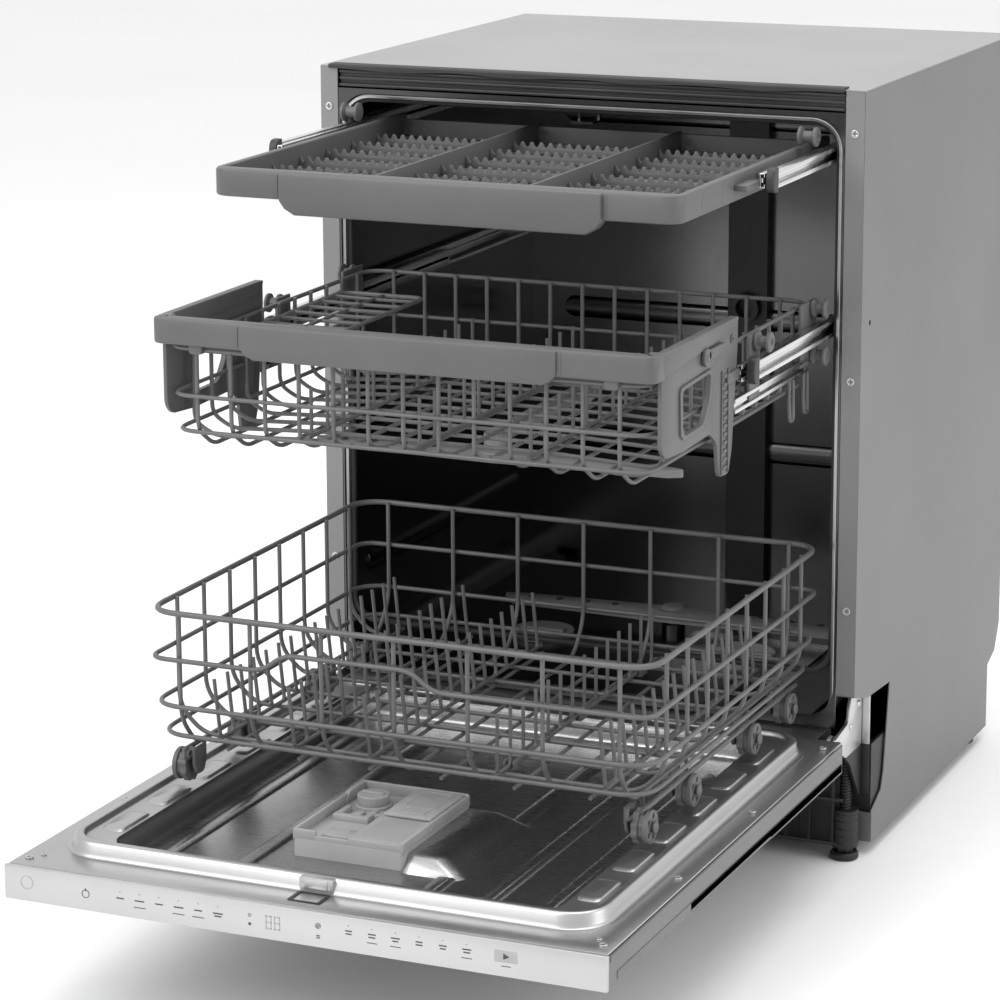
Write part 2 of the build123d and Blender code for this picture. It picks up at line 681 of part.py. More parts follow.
def tine_row(x, z, places, height):
    """Row of upright tines on their own long wire, which lies on top of a rack's floor."""
    middle = (places[0] + places[-1]) / 2
    bars("y", wire, places[-1] - places[0] + 16.0, [(x, middle, z)])
    bars("z", tine_radius, height, [(x, y, z + height / 2) for y in places])


# ---------------------------------------------------------------- middle rack
with BuildPart() as middle_floor:
    cross_ys = steps(middle_front + 22.0, middle_back - 6.0, 12)
    along_xs = steps(-225.0, 225.0, 13)
    cross_z = middle_floor_z
    along_z = middle_floor_z + 3.2
    bars("x", wire, 2 * middle_half - 8.0, [(0, y, cross_z) for y in cross_ys])
    middle_y = (middle_front + middle_back) / 2 + 7.0
    bars("y", wire, middle_back - middle_front - 28.0, [(x, middle_y, along_z) for x in along_xs])
    tine_ys = steps(middle_front + 40.0, middle_back - 26.0, 13)
    for x in (-112.5, 0.0, 112.5):
        tine_row(x, along_z + row_lift, tine_ys, 48.0)
middle_floor.part.label = "middle_floor"
export_step(middle_floor.part, "parts/middle_floor.step")

post_radius = 1.8
post_inset = 2.5
with BuildPart() as middle_fence:
    post = middle_top - 4.0 - middle_floor_z
    levels = [(middle_floor_z, 2.2), (552.0, wire), (middle_top - 4.0, 2.2)]
    for y, inset in ((middle_front + 12.0, post_inset), (middle_back, -post_inset)):
        for z, radius in levels:
            bars("x", radius, 2 * middle_half - 8.0, [(0, y, z)])
        post_xs = steps(-middle_half + 6.0, middle_half - 6.0, 11)
        bars("z", post_radius, post, [(x, y + inset, middle_floor_z + post / 2) for x in post_xs])
    length = middle_back - middle_front - 20.0
    centre_y = (middle_back + middle_front) / 2 + 7.0
    for x, inset in ((-middle_half + 1.5, post_inset), (middle_half - 1.5, -post_inset)):
        for z, radius in levels:
            bars("y", radius, length, [(x, centre_y, z)])
        post_ys = steps(centre_y - length / 2 + 9.0, centre_y + length / 2 - 9.0, 9)
        bars("z", post_radius, post, [(x + inset, y, middle_floor_z + post / 2) for y in post_ys])
middle_fence.part.label = "middle_fence"
export_step(middle_fence.part, "parts/middle_fence.step")

with BuildPart() as middle_band:
    block((-255.0, middle_front, 602.6), (255.0, middle_front + 8.0, band_top))
    block((-255.0, middle_front, 616.0), (255.0, middle_front + 16.0, band_top))
    block((-160.0, middle_front - 3.0, 594.0), (160.0, middle_front + 5.0, band_top))
    for x in steps(-200.0, 200.0, 5):
        block((x - 6.0, middle_front + 2.0, 600.5), (x + 6.0, middle_front + 16.0, 618.0))
middle_band.part.label = "middle_band"
export_step(middle_band.part, "parts/middle_band.step")

with BuildPart() as middle_fixed_rails:
    rail_pair(rail_inner, rail_outer, front + 16.0, front + 490.0, 560.0, 584.0, 10.0)
middle_fixed_rails.part.label = "middle_fixed_rails"
export_step(middle_fixed_rails.part, "parts/middle_fixed_rails.step")

with BuildPart() as middle_runners:
    rail_pair(runner_inner, runner_outer, front - 226.0, front + 240.0, 563.0, 581.0, 8.0)
middle_runners.part.label = "middle_runners"
export_step(middle_runners.part, "parts/middle_runners.step")

with BuildPart() as middle_slides:
    mirrored_blocks((slide_inner, front - 436.0, 564.0), (slide_outer, front - 2.0, 580.0))
middle_slides.part.label = "middle_slides"
export_step(middle_slides.part, "parts/middle_slides.step")

housing_outline = [
    (front - 438.0, 628.0),
    (front - 438.0, 542.0),
    (front - 430.0, 530.0),
    (front - 384.0, 526.0),
    (front - 312.0, 528.0),
    (front - 294.0, 516.0),
    (front - 286.0, 480.0),
    (front - 258.0, 478.0),
    (front - 250.0, 500.0),
    (front - 236.0, 600.0),
    (front - 236.0, 628.0),
]
housing_face = 249.0
with BuildPart() as lift_housings:
    for x in (-slide_inner + 0.1, housing_face):
        with BuildSketch(Plane.YZ.offset(x)):
            with BuildLine():
                Polyline(*housing_outline, close=True)
            make_face()
            with Locations((front - 350.0, 564.0)):
                RectangleRounded(76.0, 46.0, 10.0, mode=Mode.SUBTRACT)
        extrude(amount=slide_inner - 0.1 - housing_face)
lift_housings.part.label = "lift_housings"
export_step(lift_housings.part, "parts/lift_housings.step")

lever_y = front - 330.0
lever_z = 604.0
with BuildPart() as lift_levers:
    for x in (-258.0, 253.4):
        with BuildSketch(Plane.YZ.offset(x)):
            with Locations((lever_y, lever_z)):
                Circle(9.0)
            with Locations((lever_y + 26.0, lever_z + 2.0)):
                Rectangle(48.0, 9.0)
        extrude(amount=4.6)
lift_levers.part.label = "lift_levers"
export_step(lift_levers.part, "parts/lift_levers.step")

shelf_hinge_x = -236.0
shelf_z = 588.0
with BuildPart() as cup_shelf:
    shelf_length = 330.0
    shelf_y = middle_front + 215.0
    edge_xs = (shelf_hinge_x, shelf_hinge_x + 92.0)
    bars("y", 2.2, shelf_length, [(x, shelf_y, shelf_z) for x in edge_xs])
    bars("y", 1.8, shelf_length, [(shelf_hinge_x + 46.0, shelf_y, shelf_z)])
    rib_ys = steps(shelf_y - shelf_length / 2 + 6.0, shelf_y + shelf_length / 2 - 6.0, 12)
    bars("x", 1.8, 92.0, [(shelf_hinge_x + 46.0, y, shelf_z) for y in rib_ys])
cup_shelf.part.label = "cup_shelf"
export_step(cup_shelf.part, "parts/cup_shelf.step")

# ---------------------------------------------------------------- lower rack
floor_ys = steps(lower_front + 9.0, lower_back - 9.0, 13)
floor_xs = steps(-240.0, 240.0, 13)
along_floor_z = lower_floor_z + 3.2
lower_middle = (lower_front + lower_back) / 2
lower_length = lower_back - lower_front
with BuildPart() as lower_floor:
    bars("x", wire, 2 * lower_half - 10.0, [(0, y, lower_floor_z) for y in floor_ys])
    bars("y", wire, lower_length - 12.0, [(x, lower_middle, along_floor_z) for x in floor_xs])
    tine_ys = steps(lower_front + 36.0, lower_back - 36.0, 14)
    for x in (-200.0, -120.0, -40.0, 200.0):
        tine_row(x, along_floor_z + row_lift, tine_ys, 60.0)
lower_floor.part.label = "lower_floor"
export_step(lower_floor.part, "parts/lower_floor.step")

fence_wires = [(lower_floor_z + 3.0, wire), (248.0, wire), (296.0, wire), (lower_top, rim_wire)]
with BuildPart() as lower_fence:
    post = lower_top - lower_floor_z - 3.0
    for y, inset in ((lower_front, post_inset), (lower_back, -post_inset)):
        for z, radius in fence_wires:
            bars("x", radius, 2 * lower_half - 8.0, [(0, y, z)])
        post_xs = steps(-lower_half + 6.5, lower_half - 6.5, 9)
        bars("z", post_radius, post, [(x, y + inset, lower_top - post / 2) for x in post_xs])
    for x, inset in ((-lower_half, post_inset), (lower_half, -post_inset)):
        for z, radius in fence_wires:
            bars("y", radius, lower_length - 2.0, [(x, lower_middle, z)])
        post_ys = steps(lower_front + 12.0, lower_back - 12.0, 8)
        bars("z", post_radius, post, [(x + inset, y, lower_top - post / 2) for y in post_ys])
lower_fence.part.label = "lower_fence"
export_step(lower_fence.part, "parts/lower_fence.step")

row_z = along_floor_z + row_lift + 0.3
row_x = 90.0
with BuildPart() as folding_tines:
    bars("y", wire, lower_length - 50.0, [(row_x, lower_middle, row_z)])
    tine_ys = steps(lower_front + 40.0, lower_back - 40.0, 13)
    bars("z", 1.8, 58.0, [(row_x, y, row_z + 29.0) for y in tine_ys])
folding_tines.part.label = "folding_tines"
export_step(folding_tines.part, "parts/folding_tines.step")

with BuildPart() as wheel_carriers:
    for y in wheel_places:
        mirrored_blocks((222.0, y - 14.0, 176.0), (228.0, y + 14.0, lower_floor_z - 2.3))
        for x in (-1, 1):
            bars("x", 4.0, 24.0, [(x * 238.0, y, wheel_z)])
            bars("x", 6.5, 1.6, [(x * 249.4, y, wheel_z)])
wheel_carriers.part.label = "wheel_carriers"
export_step(wheel_carriers.part, "parts/wheel_carriers.step")

for number, y in enumerate(wheel_places, start=1):
    with BuildPart() as wheel_pair:
        for x in (-wheel_x + 1.5, wheel_x - 1.5):
            bars("x", wheel_radius, wheel_width, [(x, y, wheel_z)])
            with Locations((x, y, wheel_z)):
                Cylinder(4.1, 30.0, rotation=(0, 90, 0), mode=Mode.SUBTRACT)
            for turn in range(5):
                angle = turn * 72.0
                spot = Vector(10.4, 0, 0).rotate(Axis.Z, angle)
                with Locations((x, y + spot.X, wheel_z + spot.Y)):
                    Cylinder(3.0, 30.0, rotation=(0, 90, 0), mode=Mode.SUBTRACT)
    wheel_pair.part.label = f"wheel_pair_{number}"
    export_step(wheel_pair.part, f"parts/wheel_pair_{number}.step")
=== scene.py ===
import json
import math

import bmesh
import bpy
from mathutils import Matrix, Vector


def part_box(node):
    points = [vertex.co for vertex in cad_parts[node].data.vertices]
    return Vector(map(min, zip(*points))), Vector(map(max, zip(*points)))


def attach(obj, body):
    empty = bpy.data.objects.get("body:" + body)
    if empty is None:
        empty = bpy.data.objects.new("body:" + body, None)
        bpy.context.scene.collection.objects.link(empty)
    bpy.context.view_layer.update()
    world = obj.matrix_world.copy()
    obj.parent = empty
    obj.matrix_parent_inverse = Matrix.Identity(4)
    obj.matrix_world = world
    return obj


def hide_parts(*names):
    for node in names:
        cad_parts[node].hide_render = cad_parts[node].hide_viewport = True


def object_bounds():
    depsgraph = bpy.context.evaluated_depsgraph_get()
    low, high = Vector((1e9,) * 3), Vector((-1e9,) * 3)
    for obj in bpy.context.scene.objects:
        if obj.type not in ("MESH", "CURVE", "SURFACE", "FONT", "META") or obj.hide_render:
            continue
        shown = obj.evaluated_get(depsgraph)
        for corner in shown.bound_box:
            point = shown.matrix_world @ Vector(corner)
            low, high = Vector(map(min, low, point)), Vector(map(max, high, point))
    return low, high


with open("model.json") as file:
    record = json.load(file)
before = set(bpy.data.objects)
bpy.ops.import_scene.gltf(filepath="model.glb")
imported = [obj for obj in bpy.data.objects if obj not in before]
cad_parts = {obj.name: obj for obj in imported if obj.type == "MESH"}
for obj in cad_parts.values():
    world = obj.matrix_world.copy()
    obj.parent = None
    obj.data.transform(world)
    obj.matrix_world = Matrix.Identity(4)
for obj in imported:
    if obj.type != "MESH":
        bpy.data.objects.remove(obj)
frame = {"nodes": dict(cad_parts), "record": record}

cad_low, cad_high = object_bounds()

LEFT_AND_RIGHT = (-1, 1)


# ---------------------------------------------------------------- materials
def node_of(tree, kind, **values):
    """A shader node with some of its inputs set."""
    made = tree.nodes.new("ShaderNode" + kind)
    for name, value in values.items():
        made.inputs[name.replace("_", " ")].default_value = value
    return made


def surface(
    name, light, dark, rough, metal=0.0, grain=900.0, stretch=(1, 1, 1), bump=0.1, cloud=5.0, coat=0.0
):
    """Material whose colour drifts between two greys, with a fine grain in its gloss and relief."""
    made = bpy.data.materials.new(name)
    made.use_nodes = True
    tree = made.node_tree
    shader = tree.nodes["Principled BSDF"]
    shader.inputs["Metallic"].default_value = metal
    shader.inputs["Coat Weight"].default_value = coat
    shader.inputs["Coat Roughness"].default_value = 0.12
    place = node_of(tree, "TexCoord")
    scaled = node_of(tree, "Mapping", Scale=stretch)
    tree.links.new(place.outputs["Object"], scaled.inputs["Vector"])
    fine = node_of(tree, "TexNoise", Scale=grain, Detail=4.0, Roughness=0.6)
    broad = node_of(tree, "TexNoise", Scale=cloud, Detail=3.0, Roughness=0.5)
    tree.links.new(scaled.outputs["Vector"], fine.inputs["Vector"])
    tree.links.new(place.outputs["Object"], broad.inputs["Vector"])
    blend = tree.nodes.new("ShaderNodeMath")
    blend.operation = "MULTIPLY_ADD"
    blend.inputs[1].default_value = 0.3
    tree.links.new(fine.outputs["Fac"], blend.inputs[0])
    shrunk = tree.nodes.new("ShaderNodeMath")
    shrunk.operation = "MULTIPLY"
    shrunk.inputs[1].default_value = 0.7
    tree.links.new(broad.outputs["Fac"], shrunk.inputs[0])
    tree.links.new(shrunk.outputs[0], blend.inputs[2])
    ramp = tree.nodes.new("ShaderNodeValToRGB")
    ramp.color_ramp.elements[0].position = 0.34
    ramp.color_ramp.elements[1].position = 0.66
    ramp.color_ramp.elements[0].color = (*dark, 1.0)
    ramp.color_ramp.elements[1].color = (*light, 1.0)
    tree.links.new(blend.outputs[0], ramp.inputs["Fac"])
    tree.links.new(ramp.outputs["Color"], shader.inputs["Base Color"])
    gloss = node_of(tree, "MapRange")
    gloss.inputs["From Min"].default_value = 0.3
    gloss.inputs["From Max"].default_value = 0.7
    gloss.inputs["To Min"].default_value = rough[0]
    gloss.inputs["To Max"].default_value = rough[1]
    tree.links.new(fine.outputs["Fac"], gloss.inputs["Value"])
    tree.links.new(gloss.outputs["Result"], shader.inputs["Roughness"])
    relief = node_of(tree, "Bump", Strength=bump, Distance=0.0004)
    tree.links.new(fine.outputs["Fac"], relief.inputs["Height"])
    tree.links.new(relief.outputs["Normal"], shader.inputs["Normal"])
    return made


def grey(value, warm=0.0):
    """Neutral colour, a little warmer or cooler."""
    return (value * (1.0 + warm), value, value * (1.0 - warm))


ALONG_X = (1.0, 60.0, 60.0)
ALONG_Y = (60.0, 1.0, 60.0)
ALONG_Z = (60.0, 60.0, 1.0)
coated_sheet = surface(
    "coated_sheet", grey(0.175), grey(0.150), (0.36, 0.5), metal=0.45, grain=1500.0, bump=0.06
)
top_sheet = surface("top_sheet", grey(0.31), grey(0.27), (0.34, 0.46), metal=0.4, grain=1500.0, bump=0.05)
flange_sheet = surface(
    "flange_sheet", grey(0.23), grey(0.20), (0.4, 0.5), metal=0.35, grain=1500.0, bump=0.05
)
pressed_steel = surface(
    "pressed_steel", grey(0.50), grey(0.43), (0.30, 0.42), metal=1.0, grain=45.0, stretch=ALONG_X, bump=0.04,
    cloud=3.0
)
# Pan steel darker than the rim's steel: painted shade standing for the dark tub and racks that the pan
# reflects.
painted_shade_pan_steel = surface(
    "painted_shade_pan_steel", grey(0.48), grey(0.38), (0.22, 0.32), metal=1.0, grain=45.0, stretch=ALONG_X, bump=0.03,
    cloud=3.0
)
# Tub steel kept near black: painted shade standing for the dark inside of the tub, not the steel's own
# colour.
painted_shade_tub_steel = surface(
    "painted_shade_tub_steel", grey(0.13), grey(0.08), (0.16, 0.26), metal=1.0, grain=40.0, stretch=ALONG_Z, bump=0.03,
    cloud=3.0
)
strip_steel = surface(
    "strip_steel", grey(0.52), grey(0.47), (0.30, 0.40), metal=0.75, grain=70.0, stretch=ALONG_X, bump=0.05
)
rail_steel = surface(
    "rail_steel", grey(0.74), grey(0.62), (0.18, 0.28), metal=1.0, grain=60.0, stretch=ALONG_Y, bump=0.04
)
plated_steel = surface(
    "plated_steel", grey(0.62), grey(0.48), (0.28, 0.42), metal=0.95, grain=500.0, bump=0.12, cloud=30.0
)
rack_plastic = surface(
    "rack_plastic", grey(0.100), grey(0.080), (0.38, 0.5), grain=2200.0, bump=0.12, cloud=8.0
)
tray_plastic = surface(
    "tray_plastic", grey(0.100), grey(0.080), (0.4, 0.52), grain=2200.0, bump=0.12, cloud=8.0
)
wheel_plastic = surface(
    "wheel_plastic", grey(0.115), grey(0.090), (0.42, 0.55), grain=2000.0, bump=0.14, cloud=20.0
)
dispenser_plastic = surface(
    "dispenser_plastic", grey(0.36), grey(0.31), (0.38, 0.5), grain=2000.0, bump=0.1, cloud=12.0
)
arm_plastic = surface("arm_plastic", grey(0.20), grey(0.16), (0.4, 0.52), grain=1800.0, bump=0.12, cloud=10.0)
pale_plastic = surface(
    "pale_plastic", grey(0.66, 0.01), grey(0.56, 0.01), (0.4, 0.55), grain=1600.0, bump=0.1
)
black_plastic = surface(
    "black_plastic", grey(0.012), grey(0.006), (0.4, 0.6), grain=1600.0, bump=0.2, cloud=12.0
)
dark_plastic = surface(
    "dark_plastic", grey(0.030), grey(0.020), (0.42, 0.56), grain=1600.0, bump=0.15, cloud=12.0
)
black_rubber = surface(
    "black_rubber", grey(0.024), grey(0.014), (0.55, 0.75), grain=1400.0, bump=0.3, cloud=15.0
)
nylon_wire = surface("nylon_wire", grey(0.115), grey(0.085), (0.34, 0.5), grain=1300.0, bump=0.18, cloud=25.0)
cast_iron = surface(
    "cast_iron", grey(0.10), grey(0.05), (0.6, 0.8), metal=0.6, grain=350.0, bump=0.8, cloud=20.0
)
circuit_green = surface(
    "circuit_green", (0.05, 0.20, 0.10), (0.03, 0.13, 0.07), (0.3, 0.45), grain=700.0, bump=0.1
)
print_grey = surface("print_grey", grey(0.06), grey(0.04), (0.5, 0.6), grain=2600.0, bump=0.05, cloud=40.0)
pale_print = surface("pale_print", grey(0.40), grey(0.33), (0.5, 0.6), grain=2600.0, bump=0.05, cloud=40.0)
studio_white = surface("studio_white", grey(0.90), grey(0.87), (0.8, 0.9), grain=40.0, bump=0.0, cloud=1.0)

SLOT_LOOKS = {
    "zinc_sheet": coated_sheet,
    "top_sheet": top_sheet,
    # Stainless parts take the near-black tub steel, whose darkness is painted shade.
    "stainless": painted_shade_tub_steel,
    "stainless_fine": rail_steel,
    "black_plastic": black_plastic,
    "grey_plastic": arm_plastic,
    "light_plastic": dispenser_plastic,
    "white_plastic": pale_plastic,
    "black_rubber": black_rubber,
    "coated_wire": nylon_wire,
    "cast_weight": cast_iron,
    "steel": plated_steel,
    "board": circuit_green,
}
slot_of = {part["node"]: part["material_slot"] for part in frame["record"]["subparts"]}
# The supply column gets near-black plastic instead of its grey: painted shade of the dark tub round it.
painted_shade_looks = {"supply_column": dark_plastic}
for node, shown in frame["nodes"].items():
    look = painted_shade_looks.get(node, SLOT_LOOKS[slot_of[node]])
    for place in shown.material_slots:
        place.material = look


# ---------------------------------------------------------------- mesh tools
def spread(first, last, count):
    """Evenly spaced values from first to last, both included."""
    return [first + (last - first) * i / (count - 1) for i in range(count)]


def rounded_rectangle(low, high, radius, arc=7):
    """Corners of a rectangle in a plane, each one an arc, anticlockwise."""
    centres = [
        (high[0] - radius, low[1] + radius, -90.0),
        (high[0] - radius, high[1] - radius, 0.0),
        (low[0] + radius, high[1] - radius, 90.0),
        (low[0] + radius, low[1] + radius, 180.0),
    ]
    points = []
    for x, y, first in centres:
        for i in range(arc + 1):
            angle = math.radians(first + 90.0 * i / arc)
            points.append((x + radius * math.cos(angle), y + radius * math.sin(angle)))
    return points


def circle(centre, radius, count=24, lobes=0, depth=0.0):
    """Round outline, with a wavy edge if it has lobes."""
    points = []
    for i in range(count):
        angle = 2 * math.pi * i / count
        reach = radius - depth * (0.5 - 0.5 * math.cos(lobes * angle))
        points.append((centre[0] + reach * math.cos(angle), centre[1] + reach * math.sin(angle)))
    return points


def bent(points, bend, arc=5):
    """Path whose inner corners are rounded, as a wire or a sheet edge is bent."""
    path = [Vector(points[0])]
    for before, corner, after in zip(points, points[1:], points[2:]):
        corner = Vector(corner)
        back, on = Vector(before) - corner, Vector(after) - corner
        reach = min(bend, 0.48 * back.length, 0.48 * on.length)
        start, end = corner + back.normalized() * reach, corner + on.normalized() * reach
        for i in range(arc + 1):
            t = i / arc
            path.append(start * (1 - t) ** 2 + corner * (2 * t * (1 - t)) + end * t * t)
    path.append(Vector(points[-1]))
    return path


def soft_outline(points, bend, arc=5, closed=False):
    """Flat outline whose corners are rounded, all the way round if it is closed."""
    spots = [*points, points[0]] if closed else points
    path = bent([(a, b, 0) for a, b in spots], bend, arc)
    return [(p.x, p.y) for p in (path[:-1] if closed else path)]


def finish_piece(made, name, look, body, replaces=(), sharp=32.0):
    """Gives a new mesh object its material and its body, and hides the parts it replaces."""
    made.name = name
    made.data.name = name
    made.data.materials.clear()
    made.data.materials.append(look)
    made.data.shade_smooth()
    made.data.set_sharp_from_angle(angle=math.radians(sharp))
    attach(made, body)
    if replaces:
        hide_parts(*replaces)
    return made


class Shape:
    """Closed forms gathered into one mesh object."""

    def __init__(self):
        self.mesh = bmesh.new()

    def add(self, part, bevel=0.0, segments=2):
        """Takes a form in, with its sharp edges rounded."""
        bmesh.ops.recalc_face_normals(part, faces=part.faces[:])
        if bevel:
            edges = [e for e in part.edges if len(e.link_faces) == 2 and e.calc_face_angle(0.0) > 0.6]
            bmesh.ops.bevel(
                part, geom=edges, offset=bevel, segments=segments, profile=0.5, affect="EDGES",
                clamp_overlap=True
            )
        data = bpy.data.meshes.new("form")
        part.to_mesh(data)
        part.free()
        self.mesh.from_mesh(data)
        bpy.data.meshes.remove(data)

    def block(self, low, high, bevel=0.0):
        """Box between two corners."""
        part = bmesh.new()
        bmesh.ops.create_cube(part, size=1.0)
        for v in part.verts:
            v.co = Vector([a + (c + 0.5) * (b - a) for a, b, c in zip(low, high, v.co)])
        self.add(part, bevel)

    def pair(self, low, high, bevel=0.0):
        """Box on the right, with its twin on the left."""
        self.block(low, high, bevel)
        self.block((-high[0], low[1], low[2]), (-low[0], high[1], high[2]), bevel)

    def prism(self, outline, axis, low, high, holes=(), bevel=0.0):
        """Flat outline pushed along an axis from low to high, with its holes left open."""
        part = bmesh.new()
        spots = {"x": lambda a, b: (low, a, b), "y": lambda a, b: (a, low, b), "z": lambda a, b: (a, b, low)}
        edges = []
        for loop in (outline, *holes):
            verts = [part.verts.new(spots[axis](a, b)) for a, b in loop]
            edges += [part.edges.new((verts[i - 1], verts[i])) for i in range(len(verts))]
        if holes:
            bmesh.ops.triangle_fill(part, edges=edges, use_beauty=True, use_dissolve=False)
        else:
            part.faces.new(verts)
        grown = bmesh.ops.extrude_face_region(part, geom=part.faces[:])
        moved = [v for v in grown["geom"] if isinstance(v, bmesh.types.BMVert)]
        step = {"x": (high - low, 0, 0), "y": (0, high - low, 0), "z": (0, 0, high - low)}[axis]
        bmesh.ops.translate(part, verts=moved, vec=step)
        self.add(part, bevel)

    def lathe(self, profile, centre, axis="z", sides=28):
        """Turned form: radius and height pairs along an axis, closed at both ends."""
        turns = {
            "z": lambda u, v, h: (u, v, h),
            "x": lambda u, v, h: (h, u, v),
            "y": lambda u, v, h: (v, h, u),
        }
        loops = []
        for radius, height in profile:
            loop = []
            for i in range(sides):
                angle = 2 * math.pi * i / sides
                spot = turns[axis](radius * math.cos(angle), radius * math.sin(angle), height)
                loop.append(Vector(centre) + Vector(spot))
            loops.append(loop)
        self.loft(loops)

    def loft(self, loops, caps=(True, True), ring=False, bevel=0.0):
        """Skin over a row of loops with the same number of points."""
        part = bmesh.new()
        rows = [[part.verts.new(p) for p in loop] for loop in loops]
        steps = list(zip(rows, rows[1:]))
        if ring:
            steps.append((rows[-1], rows[0]))
        for one, two in steps:
            for i in range(len(one)):
                part.faces.new((one[i - 1], one[i], two[i], two[i - 1]))
        if caps[0] and not ring:
            part.faces.new(rows[0])
        if caps[1] and not ring:
            part.faces.new(rows[-1])
        bmesh.ops.remove_doubles(part, verts=part.verts[:], dist=1e-6)
        self.add(part, bevel)

    def follow(self, path, section, ring=False):
        """Upright section of (outward, height) points carried along a level path."""
        loops = []
        for i, spot in enumerate(path):
            before = path[i - 1] if ring or i else path[0]
            after = path[(i + 1) % len(path)] if ring or i < len(path) - 1 else path[-1]
            run = (after - before).normalized()
            out = Vector((run.y, -run.x, 0.0))
            loops.append([spot + out * a + Vector((0, 0, b)) for a, b in section])
        self.loft(loops, ring=ring)

    def piece(self, name, look, body, slot, replaces=(), sharp=32.0):
        """Turns what was gathered into an object."""
        data = bpy.data.meshes.new(name)
        self.mesh.to_mesh(data)
        self.mesh.free()
        made = bpy.data.objects.new(name, data)
        bpy.context.scene.collection.objects.link(made)
        return finish_piece(made, name, look, body, replaces, sharp)


class Wires:
    """Round wires gathered into one mesh object."""

    def __init__(self, radius, rings=3):
        self.curve = bpy.data.curves.new("wires", "CURVE")
        self.curve.dimensions = "3D"
        self.curve.bevel_depth = radius
        self.curve.bevel_resolution = rings
        self.curve.use_fill_caps = True
        self.radius = radius

    def run(self, points, bend=0.0, radius=None, ring=False):
        """One wire along a path of points, with its corners bent."""
        path = bent(points, bend) if bend else [Vector(p) for p in points]
        spline = self.curve.splines.new("POLY")
        spline.points.add(len(path) - 1)
        for point, spot in zip(spline.points, path):
            point.co = (*spot, 1.0)
            point.radius = (radius or self.radius) / self.radius
        spline.use_cyclic_u = ring

    def piece(self, name, look, body, slot, replaces=()):
        """Turns the wires into a mesh object."""
        rough = bpy.data.objects.new("rough", self.curve)
        bpy.context.scene.collection.objects.link(rough)
        bpy.context.view_layer.update()
        data = bpy.data.meshes.new_from_object(rough)
        bpy.data.objects.remove(rough)
        made = bpy.data.objects.new(name, data)
        bpy.context.scene.collection.objects.link(made)
        return finish_piece(made, name, look, body, replaces, 50.0)


def helix(centre, radius, pitch, turns, axis="z", sides=14):
    """Points of a screw line round an axis."""
    points = []
    for i in range(int(turns * sides) + 1):
        angle = 2 * math.pi * i / sides
        u, v, h = radius * math.cos(angle), radius * math.sin(angle), pitch * i / sides
        points.append(Vector(centre) + Vector((u, v, h) if axis == "z" else (u, h, v)))
    return points


def screw_head(shape, centre, radius, height, axis="z", away=1.0):
    """Pan-head screw with a cross-shaped recess, standing out along an axis."""
    bars = radius * 0.16
    reach = radius * 0.62
    cross = [
        (bars, bars), (bars, reach), (-bars, reach), (-bars, bars), (-reach, bars), (-reach, -bars),
        (-bars, -bars), (-bars, -reach), (bars, -reach), (bars, -bars), (reach, -bars), (reach, bars),
    ]
    a, b, c = {"z": (0, 1, 2), "y": (0, 2, 1), "x": (1, 2, 0)}[axis]
    rim = [(centre[a] + x, centre[b] + y) for x, y in circle((0, 0), radius, 20)]
    hole = [(centre[a] + x, centre[b] + y) for x, y in cross]
    near, far = sorted((centre[c], centre[c] + away * height))
    shape.prism(rim, axis, near, far, holes=[hole], bevel=height * 0.25)


# ---------------------------------------------------------------- cabinet
def make_moisture_strip():
    """Thin black strip along the front of the top, whose lip hangs a little unevenly."""
    low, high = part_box("moisture_strip")
    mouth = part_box("tub")[1].x
    thick = 0.0016
    shape = Shape()
    loops = []
    for x in spread(-mouth - 0.010, mouth - 0.001, 90):
        sway = 0.0009 * math.sin(x * 31.0) + 0.0006 * math.sin(x * 83.0 + 1.0)
        lip = low.z + 0.0012 + 0.0011 * math.sin(x * 47.0 + 2.0)
        front_y = low.y + 0.0016 + sway
        loops.append(
            [
                Vector((x, high.y, high.z - thick)),
                Vector((x, high.y, high.z - 0.0002)),
                Vector((x, front_y + 0.002, high.z - 0.0002)),
                Vector((x, front_y, high.z - 0.0016)),
                Vector((x, front_y - 0.0004, lip)),
                Vector((x, front_y + thick * 0.7, lip)),
                Vector((x, front_y + thick, high.z - 0.0026)),
                Vector((x, front_y + 0.003, high.z - thick)),
            ]
        )
    shape.loft(loops)
    shape.piece("moisture_strip_lip", black_rubber, "cabinet", "black_rubber", ["moisture_strip"])


def make_front_rail():
    """Dark ribbed rail between the strip and the mouth of the tub."""
    low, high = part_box("top_front_rail")
    shape = Shape()
    shape.block((low.x, low.y + 0.0035, low.z), (high.x, high.y, high.z), 0.0008)
    for z, depth in ((low.z + 0.0022, 0.0), (low.z + 0.0092, 0.0006), (low.z + 0.0164, 0.0)):
        shape.block((low.x, low.y + depth, z - 0.0017), (high.x, low.y + 0.006, z + 0.0017), 0.0012)
    shape.piece("top_front_rail_ribs", dark_plastic, "cabinet", "grey_plastic", ["top_front_rail"])


MOUTH_RADIUS = 0.033


def mouth_loop(base_z, inward, y):
    """Closed loop round the mouth of the tub, set inward from the seal's outline."""
    seal_low, seal_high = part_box("tub_seal")
    outline = rounded_rectangle(
        (seal_low.x + inward, base_z + inward), (seal_high.x - inward, seal_high.z - inward),
        MOUTH_RADIUS - inward, 10,
    )
    return [Vector((x, y, z)) for x, z in outline]


def make_tub_mouth():
    """Bright turned edge round the mouth of the tub."""
    front_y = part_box("tub")[0].y + 0.007
    turned = (
        (0.0, 0.0), (0.0014, -0.0012), (0.0040, -0.0004), (0.0048, 0.004), (0.0030, 0.006), (0.0, 0.004)
    )
    shape = Shape()
    shape.loft([mouth_loop(0.158, inward, front_y + 0.0015 + back) for inward, back in turned], ring=True)
    shape.piece("tub_mouth_edge", pressed_steel, "cabinet", "stainless")


